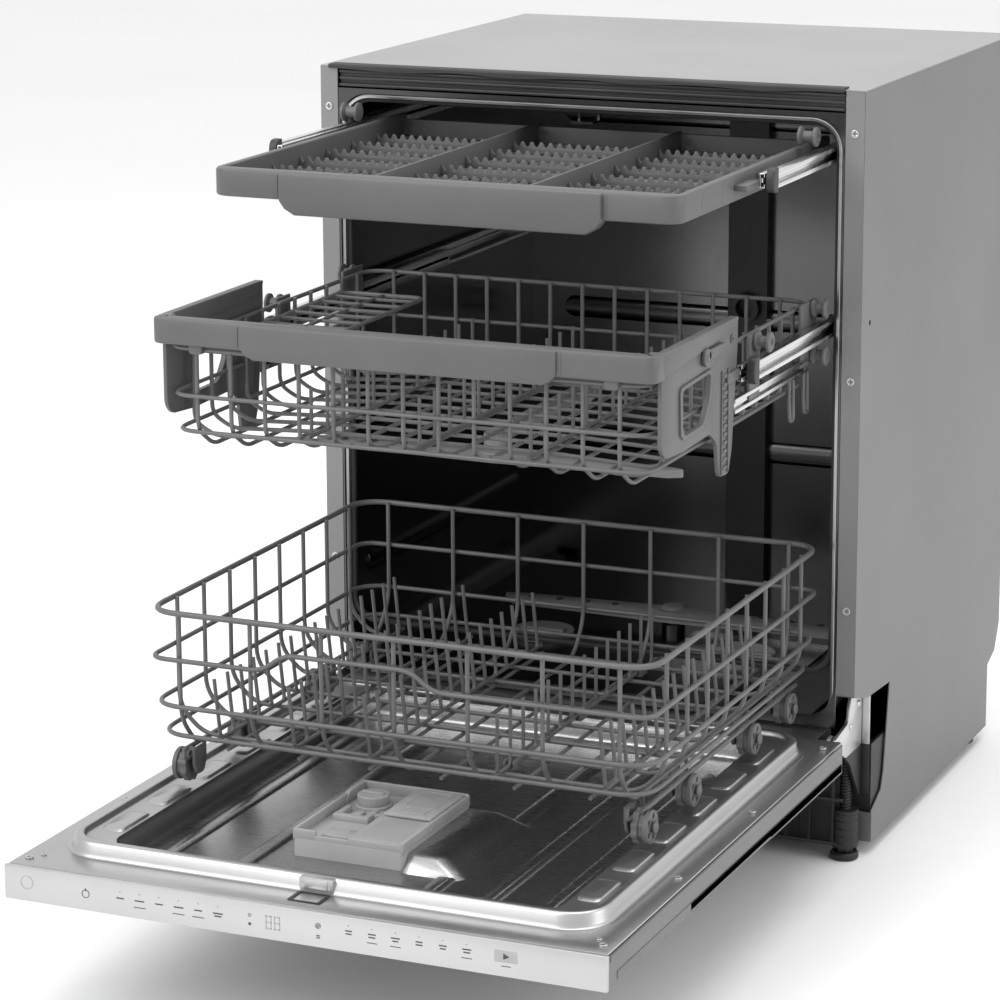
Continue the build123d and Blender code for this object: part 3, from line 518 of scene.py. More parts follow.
def make_seal_bead():
    """Round rubber bead behind the mouth's edge."""
    front_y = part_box("tub")[0].y + 0.007
    base_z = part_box("tub_seal")[0].z
    bead_sides, bead_radius = 8, 0.0036
    loops = []
    for i in range(bead_sides):
        angle = math.radians(45.0 * i)
        inward = 0.0056 + bead_radius * math.cos(angle)
        loops.append(mouth_loop(base_z, inward, front_y + (0.0085 + bead_radius * math.sin(angle))))
    seal = Shape()
    seal.loft(loops, ring=True)
    seal.piece("tub_seal_bead", black_rubber, "cabinet", "black_rubber", ["tub_seal"])


def make_tub_ribs():
    """Long pressed ridges on the side and back walls of the tub."""
    low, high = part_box("tub")
    shape = Shape()
    for z in (0.262, 0.420, 0.655):
        for side in LEFT_AND_RIGHT:
            loops = []
            for height, deep in ((0.011, 0.0), (0.009, 0.0018), (0.005, 0.0030)):
                run = rounded_rectangle(
                    (low.y + 0.06, z - height), (high.y - 0.05, z + height), height * 0.98, 6
                )
                loops.append([Vector((side * (0.2772 - deep), y, h)) for y, h in run])
            shape.loft(loops)
        loops = []
        for height, deep in ((0.013, 0.0), (0.011, 0.0020), (0.006, 0.0034)):
            run = rounded_rectangle((-0.235, z + 0.05 - height), (0.235, z + 0.05 + height), height * 0.98, 6)
            loops.append([Vector((x, high.y - 0.0013 - deep, h)) for x, h in run])
        shape.loft(loops)
    # The ribs take the near-black tub steel, whose darkness is painted shade.
    shape.piece("tub_pressed_ribs", painted_shade_tub_steel, "cabinet", "stainless")


def make_side_details():
    """Folded edges and screws on the front flanges of the cabinet."""
    low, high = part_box("side_panel_right")
    screws = Shape()
    for side in LEFT_AND_RIGHT:
        for z in (0.281, 0.520, 0.770):
            screw_head(screws, (side * 0.289, low.y, z), 0.0042, 0.0018, "y", -1.0)
    screws.piece("flange_screws", plated_steel, "cabinet", "steel", ["cabinet_screws"])
    flange = Shape()
    flange.pair((high.x - 0.0198, low.y - 0.0005, 0.1915), (high.x - 0.0004, low.y + 0.0004, high.z), 0.0)
    flange.piece("flange_faces", flange_sheet, "cabinet", "zinc_sheet")


def make_back_ribs():
    """Pressed frame on the back panel."""
    low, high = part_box("back_panel")
    shape = Shape()
    for z0, z1 in ((low.z + 0.03, low.z + 0.21), (low.z + 0.25, low.z + 0.43), (low.z + 0.47, high.z - 0.03)):
        loops = []
        for inset, deep in ((0.0, 0.0), (0.004, 0.0), (0.010, 0.0035), (0.014, 0.0035)):
            outline = rounded_rectangle(
                (low.x + 0.03 + inset, z0 + inset), (high.x - 0.03 - inset, z1 - inset), 0.03 - inset * 0.5
            )
            loops.append([Vector((x, high.y - 0.0002 + deep * 0.5, z)) for x, z in outline])
        shape.loft(loops)
    shape.piece("back_panel_ribs", coated_sheet, "cabinet", "zinc_sheet")


def make_base_ribs():
    """Ribs on the front and the flanks of the black base."""
    low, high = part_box("base_tray")
    shape = Shape()
    for x in spread(low.x + 0.03, high.x - 0.03, 22):
        if abs(x) < 0.272:
            shape.block(
                (x - 0.0016, low.y + 0.0002, low.z + 0.006), (x + 0.0016, low.y + 0.004, high.z - 0.004),
                0.0006,
            )
    for z in (low.z + 0.004, low.z + 0.052, high.z - 0.005):
        shape.block((-0.2765, low.y + 0.0004, z - 0.002), (0.2765, low.y + 0.004, z + 0.002), 0.0008)
    for side in LEFT_AND_RIGHT:
        for y in spread(low.y + 0.08, high.y - 0.03, 9):
            x = side * high.x
            near, far = sorted((x - side * 0.002, x + side * 0.0014))
            shape.block((near, y - 0.002, low.z + 0.004), (far, y + 0.002, high.z - 0.004), 0.0006)
    shape.piece("base_ribs", black_plastic, "cabinet", "black_plastic")


def make_feet():
    """Threaded feet with their pads, nuts and ribbed sleeves."""
    feet_low, feet_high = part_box("leveling_feet")
    xs = (feet_low.x + 0.015, feet_high.x - 0.015)
    ys = (feet_low.y + 0.015, feet_high.y - 0.015)
    feet, sleeves = Shape(), Shape()
    threads = Wires(0.0009)
    for x in xs:
        for y in ys:
            pad = [
                (0.0, 0.0), (0.0135, 0.0), (0.015, 0.0015), (0.015, 0.006), (0.0135, 0.0078), (0.0, 0.0078)
            ]
            feet.lathe(pad, (x, y, 0.0), sides=36)
            nut = circle((x, y), 0.0095, 6)
            feet.prism(nut, "z", 0.0076, 0.0135, bevel=0.0006)
            rod = [
                (0.0, 0.013), (0.0046, 0.013), (0.0046, feet_high.z - 0.001), (0.0036, feet_high.z),
                (0.0, feet_high.z),
            ]
            feet.lathe(rod, (x, y, 0.0), sides=24)
            threads.run(helix((x, y, 0.0145), 0.0048, 0.0034, (feet_high.z - 0.017) / 0.0034), radius=0.0013)
            for z in spread(0.018, 0.050, 5):
                band = [(0.0, z), (0.0142, z), (0.0150, z + 0.0010), (0.0142, z + 0.0020), (0.0, z + 0.0020)]
                sleeves.lathe(band, (x, y, 0.0), sides=36)
            for turn in range(4):
                angle = math.radians(45.0 + 90.0 * turn)
                spot = Vector((x + 0.0125 * math.cos(angle), y + 0.0125 * math.sin(angle), 0.0))
                feet.block(
                    spot + Vector((-0.0015, -0.0015, 0.0072)), spot + Vector((0.0015, 0.0015, 0.0088)), 0.0004
                )
    feet.piece("feet_pads", black_plastic, "cabinet", "black_plastic", ["leveling_feet"])
    sleeves.piece("feet_sleeve_ribs", black_plastic, "cabinet", "black_plastic")
    threads.piece("feet_threads", black_plastic, "cabinet", "black_plastic")


def make_springs():
    """Coiled balance springs with their hooks."""
    low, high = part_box("balance_springs")
    radius = 0.0066
    wire = 0.001
    middle_z = (low.z + high.z) / 2
    wires = Wires(wire)
    start = low.y + 0.0285
    for side in LEFT_AND_RIGHT:
        x = side * (high.x - 0.0076)
        length = high.y - start - 0.002
        wires.run(helix((x, start, middle_z), radius, 0.0030, length / 0.0030, "y"))
        wires.run(
            [(x + radius, start, middle_z), (x, start - 0.004, middle_z), (x, low.y + 0.001, middle_z)], 0.003
        )
    wires.piece("spring_coils", plated_steel, "cabinet", "steel", ["balance_springs"])


# ---------------------------------------------------------------- door
RIM_X, EDGE_Z, LEDGE_Z, PAN_Z = 0.268, 0.152, 0.161, 0.137
LINER_THICK = 0.0012


def rim_ends():
    """Front and back of the liner's raised rim."""
    low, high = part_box("door_liner")
    return low.y + 0.0458, high.y - 0.073


def liner_rings():
    """Loops from the liner's flat edge over the rim and the ledge down to the pan."""
    rim, edge_z, ledge_z, pan_z = RIM_X, EDGE_Z, LEDGE_Z, PAN_Z
    top_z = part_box("door_liner")[1].z
    rim_front, rim_back = rim_ends()

    def ring(inset_x, front_in, back_in, corner, z):
        outline = rounded_rectangle(
            (-rim + inset_x, rim_front + front_in), (rim - inset_x, rim_back - back_in), corner, 10
        )
        return [Vector((x, y, z)) for x, y in outline]

    return [
        ring(-0.0080, -0.0080, -0.0080, 0.046, edge_z - 0.0012),
        ring(-0.0080, -0.0080, -0.0080, 0.046, edge_z + 0.0002),
        ring(-0.0050, -0.0070, -0.0050, 0.043, edge_z + 0.0005),
        ring(-0.0020, -0.0062, -0.0020, 0.040, edge_z + 0.0016),
        ring(-0.0005, -0.0054, -0.0005, 0.0385, edge_z + 0.0040),
        ring(0.0000, -0.0026, 0.0000, 0.038, top_z - 0.0030),
        ring(0.0006, -0.0018, 0.0006, 0.0375, top_z - 0.0014),
        ring(0.0018, -0.0004, 0.0018, 0.0365, top_z - 0.0003),
        ring(0.0034, 0.0014, 0.0034, 0.0350, top_z),
        ring(0.0066, 0.0052, 0.0070, 0.0320, top_z),
        ring(0.0082, 0.0068, 0.0086, 0.0305, top_z - 0.0008),
        ring(0.0092, 0.0078, 0.0096, 0.0295, top_z - 0.0030),
        ring(0.0100, 0.0084, 0.0104, 0.0290, ledge_z + 0.0008),
        ring(0.0114, 0.0090, 0.0118, 0.0280, ledge_z),
        ring(0.0420, 0.0098, 0.0240, 0.0280, ledge_z - 0.0004),
        ring(0.0436, 0.0106, 0.0256, 0.0275, ledge_z - 0.0024),
        ring(0.0448, 0.0114, 0.0266, 0.0270, pan_z + 0.0060),
        ring(0.0456, 0.0122, 0.0272, 0.0262, pan_z + 0.0022),
        ring(0.0480, 0.0144, 0.0290, 0.0250, pan_z + 0.0004),
        ring(0.0520, 0.0180, 0.0330, 0.0220, pan_z),
    ]


def underside(loops):
    """The same loops one sheet's thickness lower, in reverse order."""
    return [[p - Vector((0, 0, LINER_THICK)) for p in loop] for loop in reversed(loops)]


def make_liner_rim():
    """Flat edge of the pressed stainless liner, its raised rim and the pads on its ledges."""
    low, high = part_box("door_liner")
    rim, edge_z, ledge_z = RIM_X, EDGE_Z, LEDGE_Z
    rim_front, rim_back = rim_ends()
    rings = liner_rings()
    shape = Shape()
    shape.loft(rings[:16] + underside(rings[:16]), ring=True)
    edge_low, edge_high = (low.x + 0.0005, low.y), (high.x - 0.0005, high.y)
    notch = (0.269, 0.032)
    hinge_front = high.y - 0.015 - notch[1]
    outline = [
        (edge_low[0], edge_low[1]), (edge_high[0], edge_low[1]), (edge_high[0], hinge_front),
        (notch[0], hinge_front), (notch[0], edge_high[1]), (-notch[0], edge_high[1]),
        (-notch[0], hinge_front), (edge_low[0], hinge_front),
    ]
    opening = rounded_rectangle(
        (-rim - 0.006, rim_front - 0.006), (rim + 0.0008, rim_back + 0.006), 0.044, 10
    )
    opening = [(min(max(x, -0.2685), 0.2685), y) for x, y in opening]
    shape.prism(outline, "z", edge_z - 0.0016, edge_z, holes=[opening], bevel=0.0004)
    for side in LEFT_AND_RIGHT:
        for y in spread(rim_front + 0.075, rim_back - 0.075, 6):
            loops = []
            for half, up in ((0.030, -0.0004), (0.027, 0.0012), (0.021, 0.0018)):
                pad = rounded_rectangle(
                    (side * 0.2405 - 0.008 - half * 0.10, y - half),
                    (side * 0.2405 + 0.008 + half * 0.10, y + half), 0.006, 4
                )
                loops.append([Vector((px, py, ledge_z + up)) for px, py in pad])
            shape.loft(loops)
    shape.piece("door_liner_rim", pressed_steel, "door", "stainless", ["door_liner"], 40.0)


def make_liner_pan():
    """Sunken pan of the liner with its long pressed ribs."""
    pan_z = PAN_Z
    rim_front, rim_back = rim_ends()
    rim = RIM_X
    rings = liner_rings()
    pan = Shape()
    pan.loft(rings[14:] + underside(rings[14:]), caps=(False, False), ring=True)
    floor_low = (-rim + 0.0515, rim_front + 0.0175)
    floor_high = (rim - 0.0515, rim_back - 0.0325)
    pan.prism(rounded_rectangle(floor_low, floor_high, 0.0222, 10), "z", pan_z - 0.0012, pan_z)
    dispenser_low, dispenser_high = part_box("dispenser_body")
    beside_dispenser = spread(dispenser_high.x + 0.045, floor_high[0] - 0.022, 3)
    for x in (*beside_dispenser, *spread(floor_low[0] + 0.024, dispenser_low.x - 0.030, 2)):
        loops = []
        for half, up in ((0.010, -0.0002), (0.0085, 0.0013), (0.0050, 0.0021)):
            rib = rounded_rectangle(
                (x - half, floor_low[1] + 0.05), (x + half, floor_high[1] - 0.05), half * 0.95, 6
            )
            loops.append([Vector((px, py, pan_z + up)) for px, py in rib])
        pan.loft(loops)
    # The pan takes the darker pan steel, whose darkness is painted shade.
    pan.piece("door_liner_pan", painted_shade_pan_steel, "door", "stainless", sharp=40.0)


def make_dispenser_ramp():
    """Sloped swelling of the pan beside the dispenser."""
    pan_z = PAN_Z
    dispenser_low, dispenser_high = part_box("dispenser_body")
    ramp = Shape()
    ramp_loops = []
    for inset, z in ((0.0, pan_z), (0.004, pan_z + 0.004), (0.012, 0.150), (0.016, 0.152)):
        outline = rounded_rectangle(
            (dispenser_high.x - 0.004, dispenser_low.y - 0.006 + inset),
            (dispenser_high.x + 0.062 - inset * 1.9, dispenser_high.y + 0.012 - inset),
            0.012,
            6,
        )
        ramp_loops.append([Vector((x, y, z)) for x, y in outline])
    ramp.loft(ramp_loops)
    # The ramp takes the darker pan steel, whose darkness is painted shade.
    ramp.piece("dispenser_ramp", painted_shade_pan_steel, "door", "stainless", sharp=40.0)


def make_latch():
    """Plate in the rim's front wall, and the dark mouth that the latch claw sits in."""
    claw_low, claw_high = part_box("latch_claw")
    wall_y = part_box("door_liner")[0].y + 0.0458
    shape = Shape()
    shape.block((-0.0170, wall_y - 0.0078, 0.1530), (0.0170, wall_y + 0.0040, 0.1655), 0.0012)
    shape.block((-0.0120, wall_y - 0.0088, 0.1548), (0.0120, wall_y + 0.0020, 0.1640), 0.0014)
    shape.piece("latch_plate", strip_steel, "door", "stainless")
    middle = (claw_low.y + claw_high.y) / 2
    mouth = Shape()
    outline = rounded_rectangle((-0.0165, middle - 0.0120), (0.0165, middle + 0.0125), 0.002, 4)
    hole = rounded_rectangle((-0.0128, middle - 0.0095), (0.0128, middle + 0.0100), 0.0015, 4)
    mouth.prism(outline, "z", 0.1500, 0.1528, holes=[hole], bevel=0.0004)
    mouth.block((-0.0135, middle - 0.0100, 0.1440), (0.0135, middle + 0.0105, 0.1452))
    mouth.piece("latch_mouth", black_plastic, "door", "black_plastic")


def make_door_screws():
    """Screws on the flat edge of the liner."""
    low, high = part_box("door_liner")
    shape = Shape()
    for side in LEFT_AND_RIGHT:
        for y in (low.y + 0.018, low.y + 0.20, low.y + 0.40, high.y - 0.075):
            screw_head(shape, (side * 0.2855, y, 0.1521), 0.0040, 0.0018)
        screw_head(shape, (side * 0.277, low.y + 0.030, 0.1521), 0.0026, 0.0012)
    shape.piece("door_liner_screws", plated_steel, "door", "steel")


def make_door_flanks():
    """Stepped folds along both flanks of the door."""
    shell_low, shell_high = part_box("door_shell")
    flank = Shape()
    for side in LEFT_AND_RIGHT:
        near, far = sorted((side * 0.2974, side * 0.2982))
        flank.block(
            (near, shell_low.y + 0.004, shell_low.z + 0.0235),
            (far, shell_high.y - 0.05, shell_low.z + 0.0290), 0.0003,
        )
        steps = [(0.02, 0.0), (0.20, 0.0015), (0.42, 0.0030)]
        for start, drop in steps:
            flank.block(
                (near, shell_low.y + start, shell_low.z + 0.003 - drop),
                (far, shell_high.y - 0.05, shell_low.z + 0.010),
                0.0003,
            )
    flank.piece("door_flank_steps", coated_sheet, "door", "zinc_sheet")


SEGMENTS = {
    0: "abcdef", 1: "bc", 2: "abged", 3: "abgcd", 4: "fgbc",
    5: "afgcd", 6: "afgcde", 7: "abc", 8: "abcdefg", 9: "abcdfg",
}


def digit(shape, number, x, y, z, width, height, thick):
    """Seven-bar number standing on the front of the control strip."""
    bar = width * 0.16
    half = height / 2
    bars = {
        "a": (0, height - bar, width, height), "g": (0, half - bar / 2, width, half + bar / 2),
        "d": (0, 0, width, bar), "f": (0, half, bar, height), "b": (width - bar, half, width, height),
        "e": (0, 0, bar, half), "c": (width - bar, 0, width, half),
    }
    for name in SEGMENTS[number]:
        x0, z0, x1, z1 = bars[name]
        shape.block((x + x0, y, z + z0), (x + x1, y + thick, z + z1))


def make_control_strip():
    """Brushed face of the control strip."""
    low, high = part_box("control_strip")
    front_y = low.y + 0.0003
    strip = Shape()
    strip.block((low.x, front_y, low.z), (high.x, high.y, high.z), 0.0014)
    strip.piece("control_strip_face", strip_steel, "door", "stainless_fine", ["control_strip"])


def make_touch_marks():
    """Generic marks on the strip: rings, dots, dashes, two numbers and a start patch."""
    low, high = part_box("control_strip")
    marks = Shape()
    faint = Shape()
    print_y, depth = low.y + 0.0001, 0.0004
    middle = (low.z + high.z) / 2

    def dash(x, z, width, height=0.0007, shape=marks):
        shape.block(
            (x - width / 2, print_y, z - height / 2), (x + width / 2, print_y + depth, z + height / 2)
        )

    def dot(x, z, radius=0.0009, shape=marks):
        shape.prism(circle((x, z), radius, 16), "y", print_y, print_y + depth)

    def hoop(x, z, radius, width=0.0006, shape=marks):
        outer, inner = circle((x, z), radius, 28), circle((x, z), radius - width, 28)
        shape.prism(outer, "y", print_y, print_y + depth, holes=[inner])

    hoop(low.x + 0.024, middle + 0.002, 0.0068, 0.0010, faint)
    hoop(low.x + 0.086, middle, 0.0040)
    dash(low.x + 0.086, middle + 0.0038, 0.0008, 0.0030)
    for i, x in enumerate(spread(low.x + 0.122, low.x + 0.222, 6)):
        dot(x, middle + 0.0072, 0.0005)
        dash(x, middle + 0.0008, 0.0098 if i % 2 else 0.0078, 0.0012)
        if i in (1, 3, 4):
            dash(x, middle - 0.0056, 0.0120, 0.0007)
        if i == 5:
            dash(x, middle - 0.0018, 0.0070, 0.0012)
    hoop(low.x + 0.254, middle + 0.0042, 0.0016, 0.0005)
    dot(low.x + 0.254, middle - 0.0040, 0.0015)
    for i, number in enumerate((8, 8)):
        digit(faint, number, low.x + 0.270 + 0.0085 * i, print_y, middle - 0.0062, 0.0058, 0.0125, depth)
    for i in range(3):
        hoop(low.x + 0.322, middle + 0.0040, 0.0010 + 0.0009 * i, 0.0004)
    dash(low.x + 0.322, middle - 0.0052, 0.0036, 0.0010)
    dash(low.x + 0.322, middle - 0.0072, 0.0036, 0.0010)
    for i, x in enumerate(spread(low.x + 0.352, low.x + 0.466, 6)):
        dot(x, middle + 0.0085, 0.0005)
        dash(x, middle + 0.0036, 0.0066 + 0.0010 * (i % 3), 0.0012)
        dash(x, middle + 0.0008, 0.0058 + 0.0008 * (i % 2), 0.0012)
        if i in (1, 2, 5):
            dash(x, middle - 0.0044, 0.0100, 0.0007)
    patch = rounded_rectangle((low.x + 0.492, middle - 0.0030), (low.x + 0.514, middle + 0.0080), 0.0010, 3)
    faint.prism(patch, "y", print_y + 0.0001, print_y + depth)
    arrow = [
        (low.x + 0.5005, middle - 0.0004), (low.x + 0.5065, middle + 0.0025),
        (low.x + 0.5005, middle + 0.0054),
    ]
    marks.prism(arrow, "y", print_y, print_y + depth)
    dash(low.x + 0.503, middle - 0.0064, 0.0090, 0.0007)
    marks.piece("touch_marks", print_grey, "door", "grey_plastic")
    faint.piece("touch_patches", pale_print, "door", "light_plastic")


DISPENSER_FLOOR_Z = 0.1545


def cap_centre():
    """Middle of the rinse-aid cap, at floor height."""
    low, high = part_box("rinse_aid_cap")
    return Vector(((low.x + high.x) / 2, (low.y + high.y) / 2, 0.0))


def cup_edge():
    """Where the raised part round the detergent cup begins."""
    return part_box("dispenser_lid")[0].x - 0.0035


def make_dispenser_box():
    """Grey dispenser box with its stepped top and its detergent cup."""
    low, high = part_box("dispenser_body")
    lid_low, lid_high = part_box("dispenser_lid")
    floor_z, wall = DISPENSER_FLOOR_Z, 0.0042
    cap = cap_centre()
    shape = Shape()
    base = rounded_rectangle((low.x, low.y), (high.x, high.y), 0.005, 5)
    shape.prism(base, "z", 0.125, floor_z - 0.0002, bevel=0.0006)
    side_top, cup_x = 0.1638, cup_edge()
    shape.block((low.x, low.y, floor_z - 0.002), (low.x + wall, high.y, side_top), 0.0014)
    shape.block((high.x - wall, low.y, floor_z - 0.002), (high.x, high.y, side_top), 0.0014)
    shape.block(
        (low.x + 0.0003, high.y - wall, floor_z - 0.002), (high.x - 0.0003, high.y - 0.0003, high.z - 0.0006),
        0.0014,
    )
    shape.block(
        (low.x + 0.0002, low.y + 0.0002, floor_z - 0.002), (low.x + 0.024, low.y + wall, side_top - 0.0003),
        0.0014,
    )
    shape.block(
        (low.x + 0.020, low.y + 0.0003, floor_z - 0.002), (cup_x, low.y + wall - 0.0004, 0.1588), 0.0010
    )
    shape.block(
        (cup_x - 0.001, low.y + 0.0004, floor_z - 0.002), (high.x - 0.0004, low.y + wall - 0.0008, 0.1612),
        0.0010,
    )
    hump_z = high.z - 0.0006
    hump = bent(
        [
            (high.y - 0.046, floor_z, 0), (high.y - 0.040, hump_z, 0), (high.y, hump_z, 0),
            (high.y, floor_z, 0),
        ],
        0.006,
    )
    shape.prism([(p.x, p.y - 0.0002) for p in hump], "x", low.x + 0.0004, low.x + wall + 0.001, bevel=0.0010)
    cup = rounded_rectangle(
        (lid_low.x + 0.008, lid_low.y + 0.009), (lid_high.x - 0.007, lid_high.y - 0.008), 0.006, 5
    )
    block = rounded_rectangle(
        (cup_x, low.y + wall - 0.0016), (high.x - wall + 0.001, high.y - wall + 0.001), 0.002, 3
    )
    shape.prism(block, "z", floor_z - 0.002, 0.1618, holes=[cup], bevel=0.0008)
    shape.lathe(
        [(0.0, 0.1530), (0.0182, 0.1530), (0.0182, 0.1568), (0.0172, 0.1575), (0.0, 0.1575)], cap, sides=40
    )
    shape.piece("dispenser_box", dispenser_plastic, "door", "light_plastic", ["dispenser_body"])


def make_dispenser_lid():
    """Sliding lid of the detergent cup, with grip ribs and a framed field."""
    lid_low, lid_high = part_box("dispenser_lid")
    lid = Shape()
    lid.block((lid_low.x, lid_low.y, lid_low.z), (lid_high.x, lid_high.y, 0.1654), 0.0011)
    for i in range(4):
        y = lid_low.y + 0.006 + 0.0042 * i
        lid.block((lid_low.x + 0.010, y, 0.1650), (lid_high.x - 0.010, y + 0.0018, 0.1668), 0.0006)
    frame_outline = rounded_rectangle(
        (lid_low.x + 0.008, lid_low.y + 0.026), (lid_high.x - 0.008, lid_high.y - 0.006), 0.004, 4
    )
    frame_hole = rounded_rectangle(
        (lid_low.x + 0.0105, lid_low.y + 0.0285), (lid_high.x - 0.0105, lid_high.y - 0.0085), 0.003, 4
    )
    lid.prism(frame_outline, "z", 0.1650, 0.1660, holes=[frame_hole], bevel=0.0003)
    lid.piece("dispenser_lid_plate", dispenser_plastic, "detergent_lid", "light_plastic", ["dispenser_lid"])


def make_rinse_aid_knob():
    """Round rinse-aid cap with a grip bar and a ribbed rim."""
    cap = cap_centre()
    knob = Shape()
    knob.lathe(
        [
            (0.0, 0.1576), (0.0150, 0.1576), (0.0156, 0.1590), (0.0156, 0.1662), (0.0146, 0.1672),
            (0.0, 0.1672),
        ],
        cap,
        sides=48,
    )
    wing = rounded_rectangle((cap.x - 0.0115, cap.y - 0.0030), (cap.x + 0.0115, cap.y + 0.0030), 0.0026, 4)
    knob.prism(wing, "z", 0.1665, 0.1694, bevel=0.0008)
    for i in range(24):
        angle = 2 * math.pi * i / 24
        spot = cap + Vector((0.0150 * math.cos(angle), 0.0150 * math.sin(angle), 0.0))
        knob.lathe([(0.0, 0.1600), (0.0008, 0.1600), (0.0008, 0.1660), (0.0, 0.1660)], spot, sides=6)
    knob.piece("rinse_aid_knob", dispenser_plastic, "rinse_cap", "light_plastic", ["rinse_aid_cap"])


def make_dispenser_trim():
    """Raised bars, a pin and small ribs on the dispenser's floor."""
    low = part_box("dispenser_body")[0]
    floor_z = DISPENSER_FLOOR_Z
    cap = cap_centre()
    trim = Shape()
    arm_x = cup_edge() - 0.0090
    trim.block((low.x + 0.012, cap.y - 0.052, floor_z - 0.001), (arm_x, cap.y - 0.044, 0.1606), 0.0014)
    trim.block(
        (low.x + 0.0124, cap.y - 0.0514, floor_z - 0.0012), (low.x + 0.0185, cap.y - 0.020, 0.1602), 0.0014
    )
    trim.block(
        (arm_x - 0.0065, cap.y - 0.0516, floor_z - 0.0014), (arm_x - 0.0004, cap.y - 0.024, 0.1603), 0.0014
    )
    trim.block(
        (low.x + 0.026, cap.y - 0.040, floor_z - 0.001), (arm_x - 0.014, cap.y - 0.026, 0.1582), 0.0014
    )
    trim.block(
        (low.x + 0.024, low.y + 0.012, floor_z - 0.001), (arm_x + 0.004, low.y + 0.034, 0.1572), 0.0012
    )
    trim.lathe(
        [(0.0, 0.0), (0.0046, 0.0), (0.0046, 0.0042), (0.0, 0.0048)], (arm_x + 0.001, cap.y - 0.034, floor_z),
        sides=20,
    )
    for i in range(4):
        y = low.y + 0.0150 + 0.0044 * i
        trim.block((low.x + 0.030, y, 0.1568), (arm_x - 0.002, y + 0.0018, 0.1578), 0.0004)
    trim.piece("dispenser_trim", dispenser_plastic, "door", "light_plastic")


def make_hinges():
    """Plated hinge plates with their flange, pins and rivets, and the black feet under them."""
    low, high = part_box("hinge_brackets")
    front_y, back_y, pin_z = high.y - 0.0696, high.y - 0.0001, 0.140
    pin_y = low.y + 0.012
    split_z = 0.120
    plate = [
        (low.y + 0.001, pin_z - 0.010), (low.y, pin_z + 0.009), (front_y + 0.020, 0.156),
        (front_y + 0.030, 0.1838),
        (back_y - 0.004, 0.1838), (back_y - 0.004, split_z), (front_y + 0.012, split_z),
        (front_y + 0.002, 0.127),
    ]
    foot = [
        (front_y + 0.0125, split_z - 0.0002), (back_y - 0.0044, split_z - 0.0002),
        (back_y - 0.0044, low.z + 0.0005),
        (front_y + 0.060, low.z + 0.0005), (front_y + 0.029, 0.108),
    ]
    plates, feet = Shape(), Shape()
    for side in LEFT_AND_RIGHT:
        near, far = sorted((side * 0.2831, side * 0.2869))
        plates.prism(soft_outline(plate, 0.005, 3, closed=True), "x", near, far, bevel=0.0006)
        feet.prism(foot, "x", near, far, bevel=0.0006)
        flange_near, flange_far = sorted((side * 0.2797, side * 0.2948))
        plates.block((flange_near, back_y - 0.0022, split_z), (flange_far, back_y, 0.1802), 0.0006)
        feet.block((flange_near, back_y - 0.0022, low.z), (flange_far, back_y, split_z - 0.0002), 0.0006)
        for y, z, radius in (
            (pin_y, pin_z, 0.0062), (low.y + 0.052, 0.150, 0.0036), (low.y + 0.078, 0.168, 0.0036)
        ):
            head = [(0.0, -0.001), (radius, -0.001), (radius, 0.0006), (radius * 0.7, 0.0018), (0.0, 0.0021)]
            plates.lathe([(r, side * h) for r, h in head], (side * 0.2868, y, z), "x", 24)
        pin = [(0.0, 0.0), (0.0039, 0.0), (0.0039, 0.0110 * side), (0.0, 0.0110 * side)]
        plates.lathe(pin, (side * 0.2755, pin_y, pin_z), "x", 24)
    plates.piece("hinge_plates", plated_steel, "cabinet", "steel", ["hinge_brackets"])
    feet.piece("hinge_plate_feet", black_plastic, "cabinet", "black_plastic", ["hinge_brackets"])


# ---------------------------------------------------------------- rails
def channel(mouth, spine, low_z, high_z, lip, thick):
    """Section of a C-shaped rail with its open side at the mouth, as (x, z) points."""
    t = thick if spine > mouth else -thick
    return [
        (spine, low_z), (spine, high_z), (mouth, high_z), (mouth, high_z - lip), (mouth + t, high_z - lip),
        (mouth + t, high_z - thick), (spine - t, high_z - thick), (spine - t, low_z + thick),
        (mouth + t, low_z + thick), (mouth + t, low_z + lip), (mouth, low_z + lip), (mouth, low_z),
    ]


def rail_pair(shape, mouth, spine, y0, y1, z0, z1, lip=0.0042, thick=0.0012):
    """C-shaped rail on the right with its twin on the left, and a thin tongue along the groove."""
    section = channel(mouth, spine, z0, z1, lip, thick)
    middle, toward = (z0 + z1) / 2, 1.0 if mouth > spine else -1.0
    tongue = sorted((spine, spine + toward * 0.0026))
    for side in LEFT_AND_RIGHT:
        shape.prism([(side * x, z) for x, z in section], "y", y0, y1, bevel=0.0003)
    shape.pair((tongue[0], y0 + 0.003, middle - 0.0022), (tongue[1], y1 - 0.003, middle + 0.0022), 0.0005)


def end_cap(shape, side, inner, outer, y, z0, z1):
    """Rounded plastic stop on the front end of a fixed rail."""
    outline = soft_outline(
        [(y + 0.012, z0), (y, z0), (y - 0.004, (z0 + z1) / 2), (y, z1), (y + 0.012, z1)], 0.006
    )
    near, far = sorted((side * inner, side * outer))
    shape.prism(outline, "x", near, far, bevel=0.0010)


def spool(shape, x, y, z, side, reach, radius):
    """Roller with two rims and a waist."""
    profile = [
        (0.0, 0.0), (radius * 0.82, 0.0), (radius, 0.0010), (radius, 0.0034), (radius * 0.80, 0.0044),
        (radius * 0.58, 0.0056), (radius * 0.58, reach - 0.0056), (radius * 0.80, reach - 0.0044),
        (radius, reach - 0.0034), (radius, reach - 0.0010), (radius * 0.82, reach),
        (radius * 0.40, reach), (radius * 0.36, reach - 0.0012), (0.0, reach - 0.0012),
    ]
    shape.lathe([(r, side * h) for r, h in profile], (x, y, z), "x", 28)


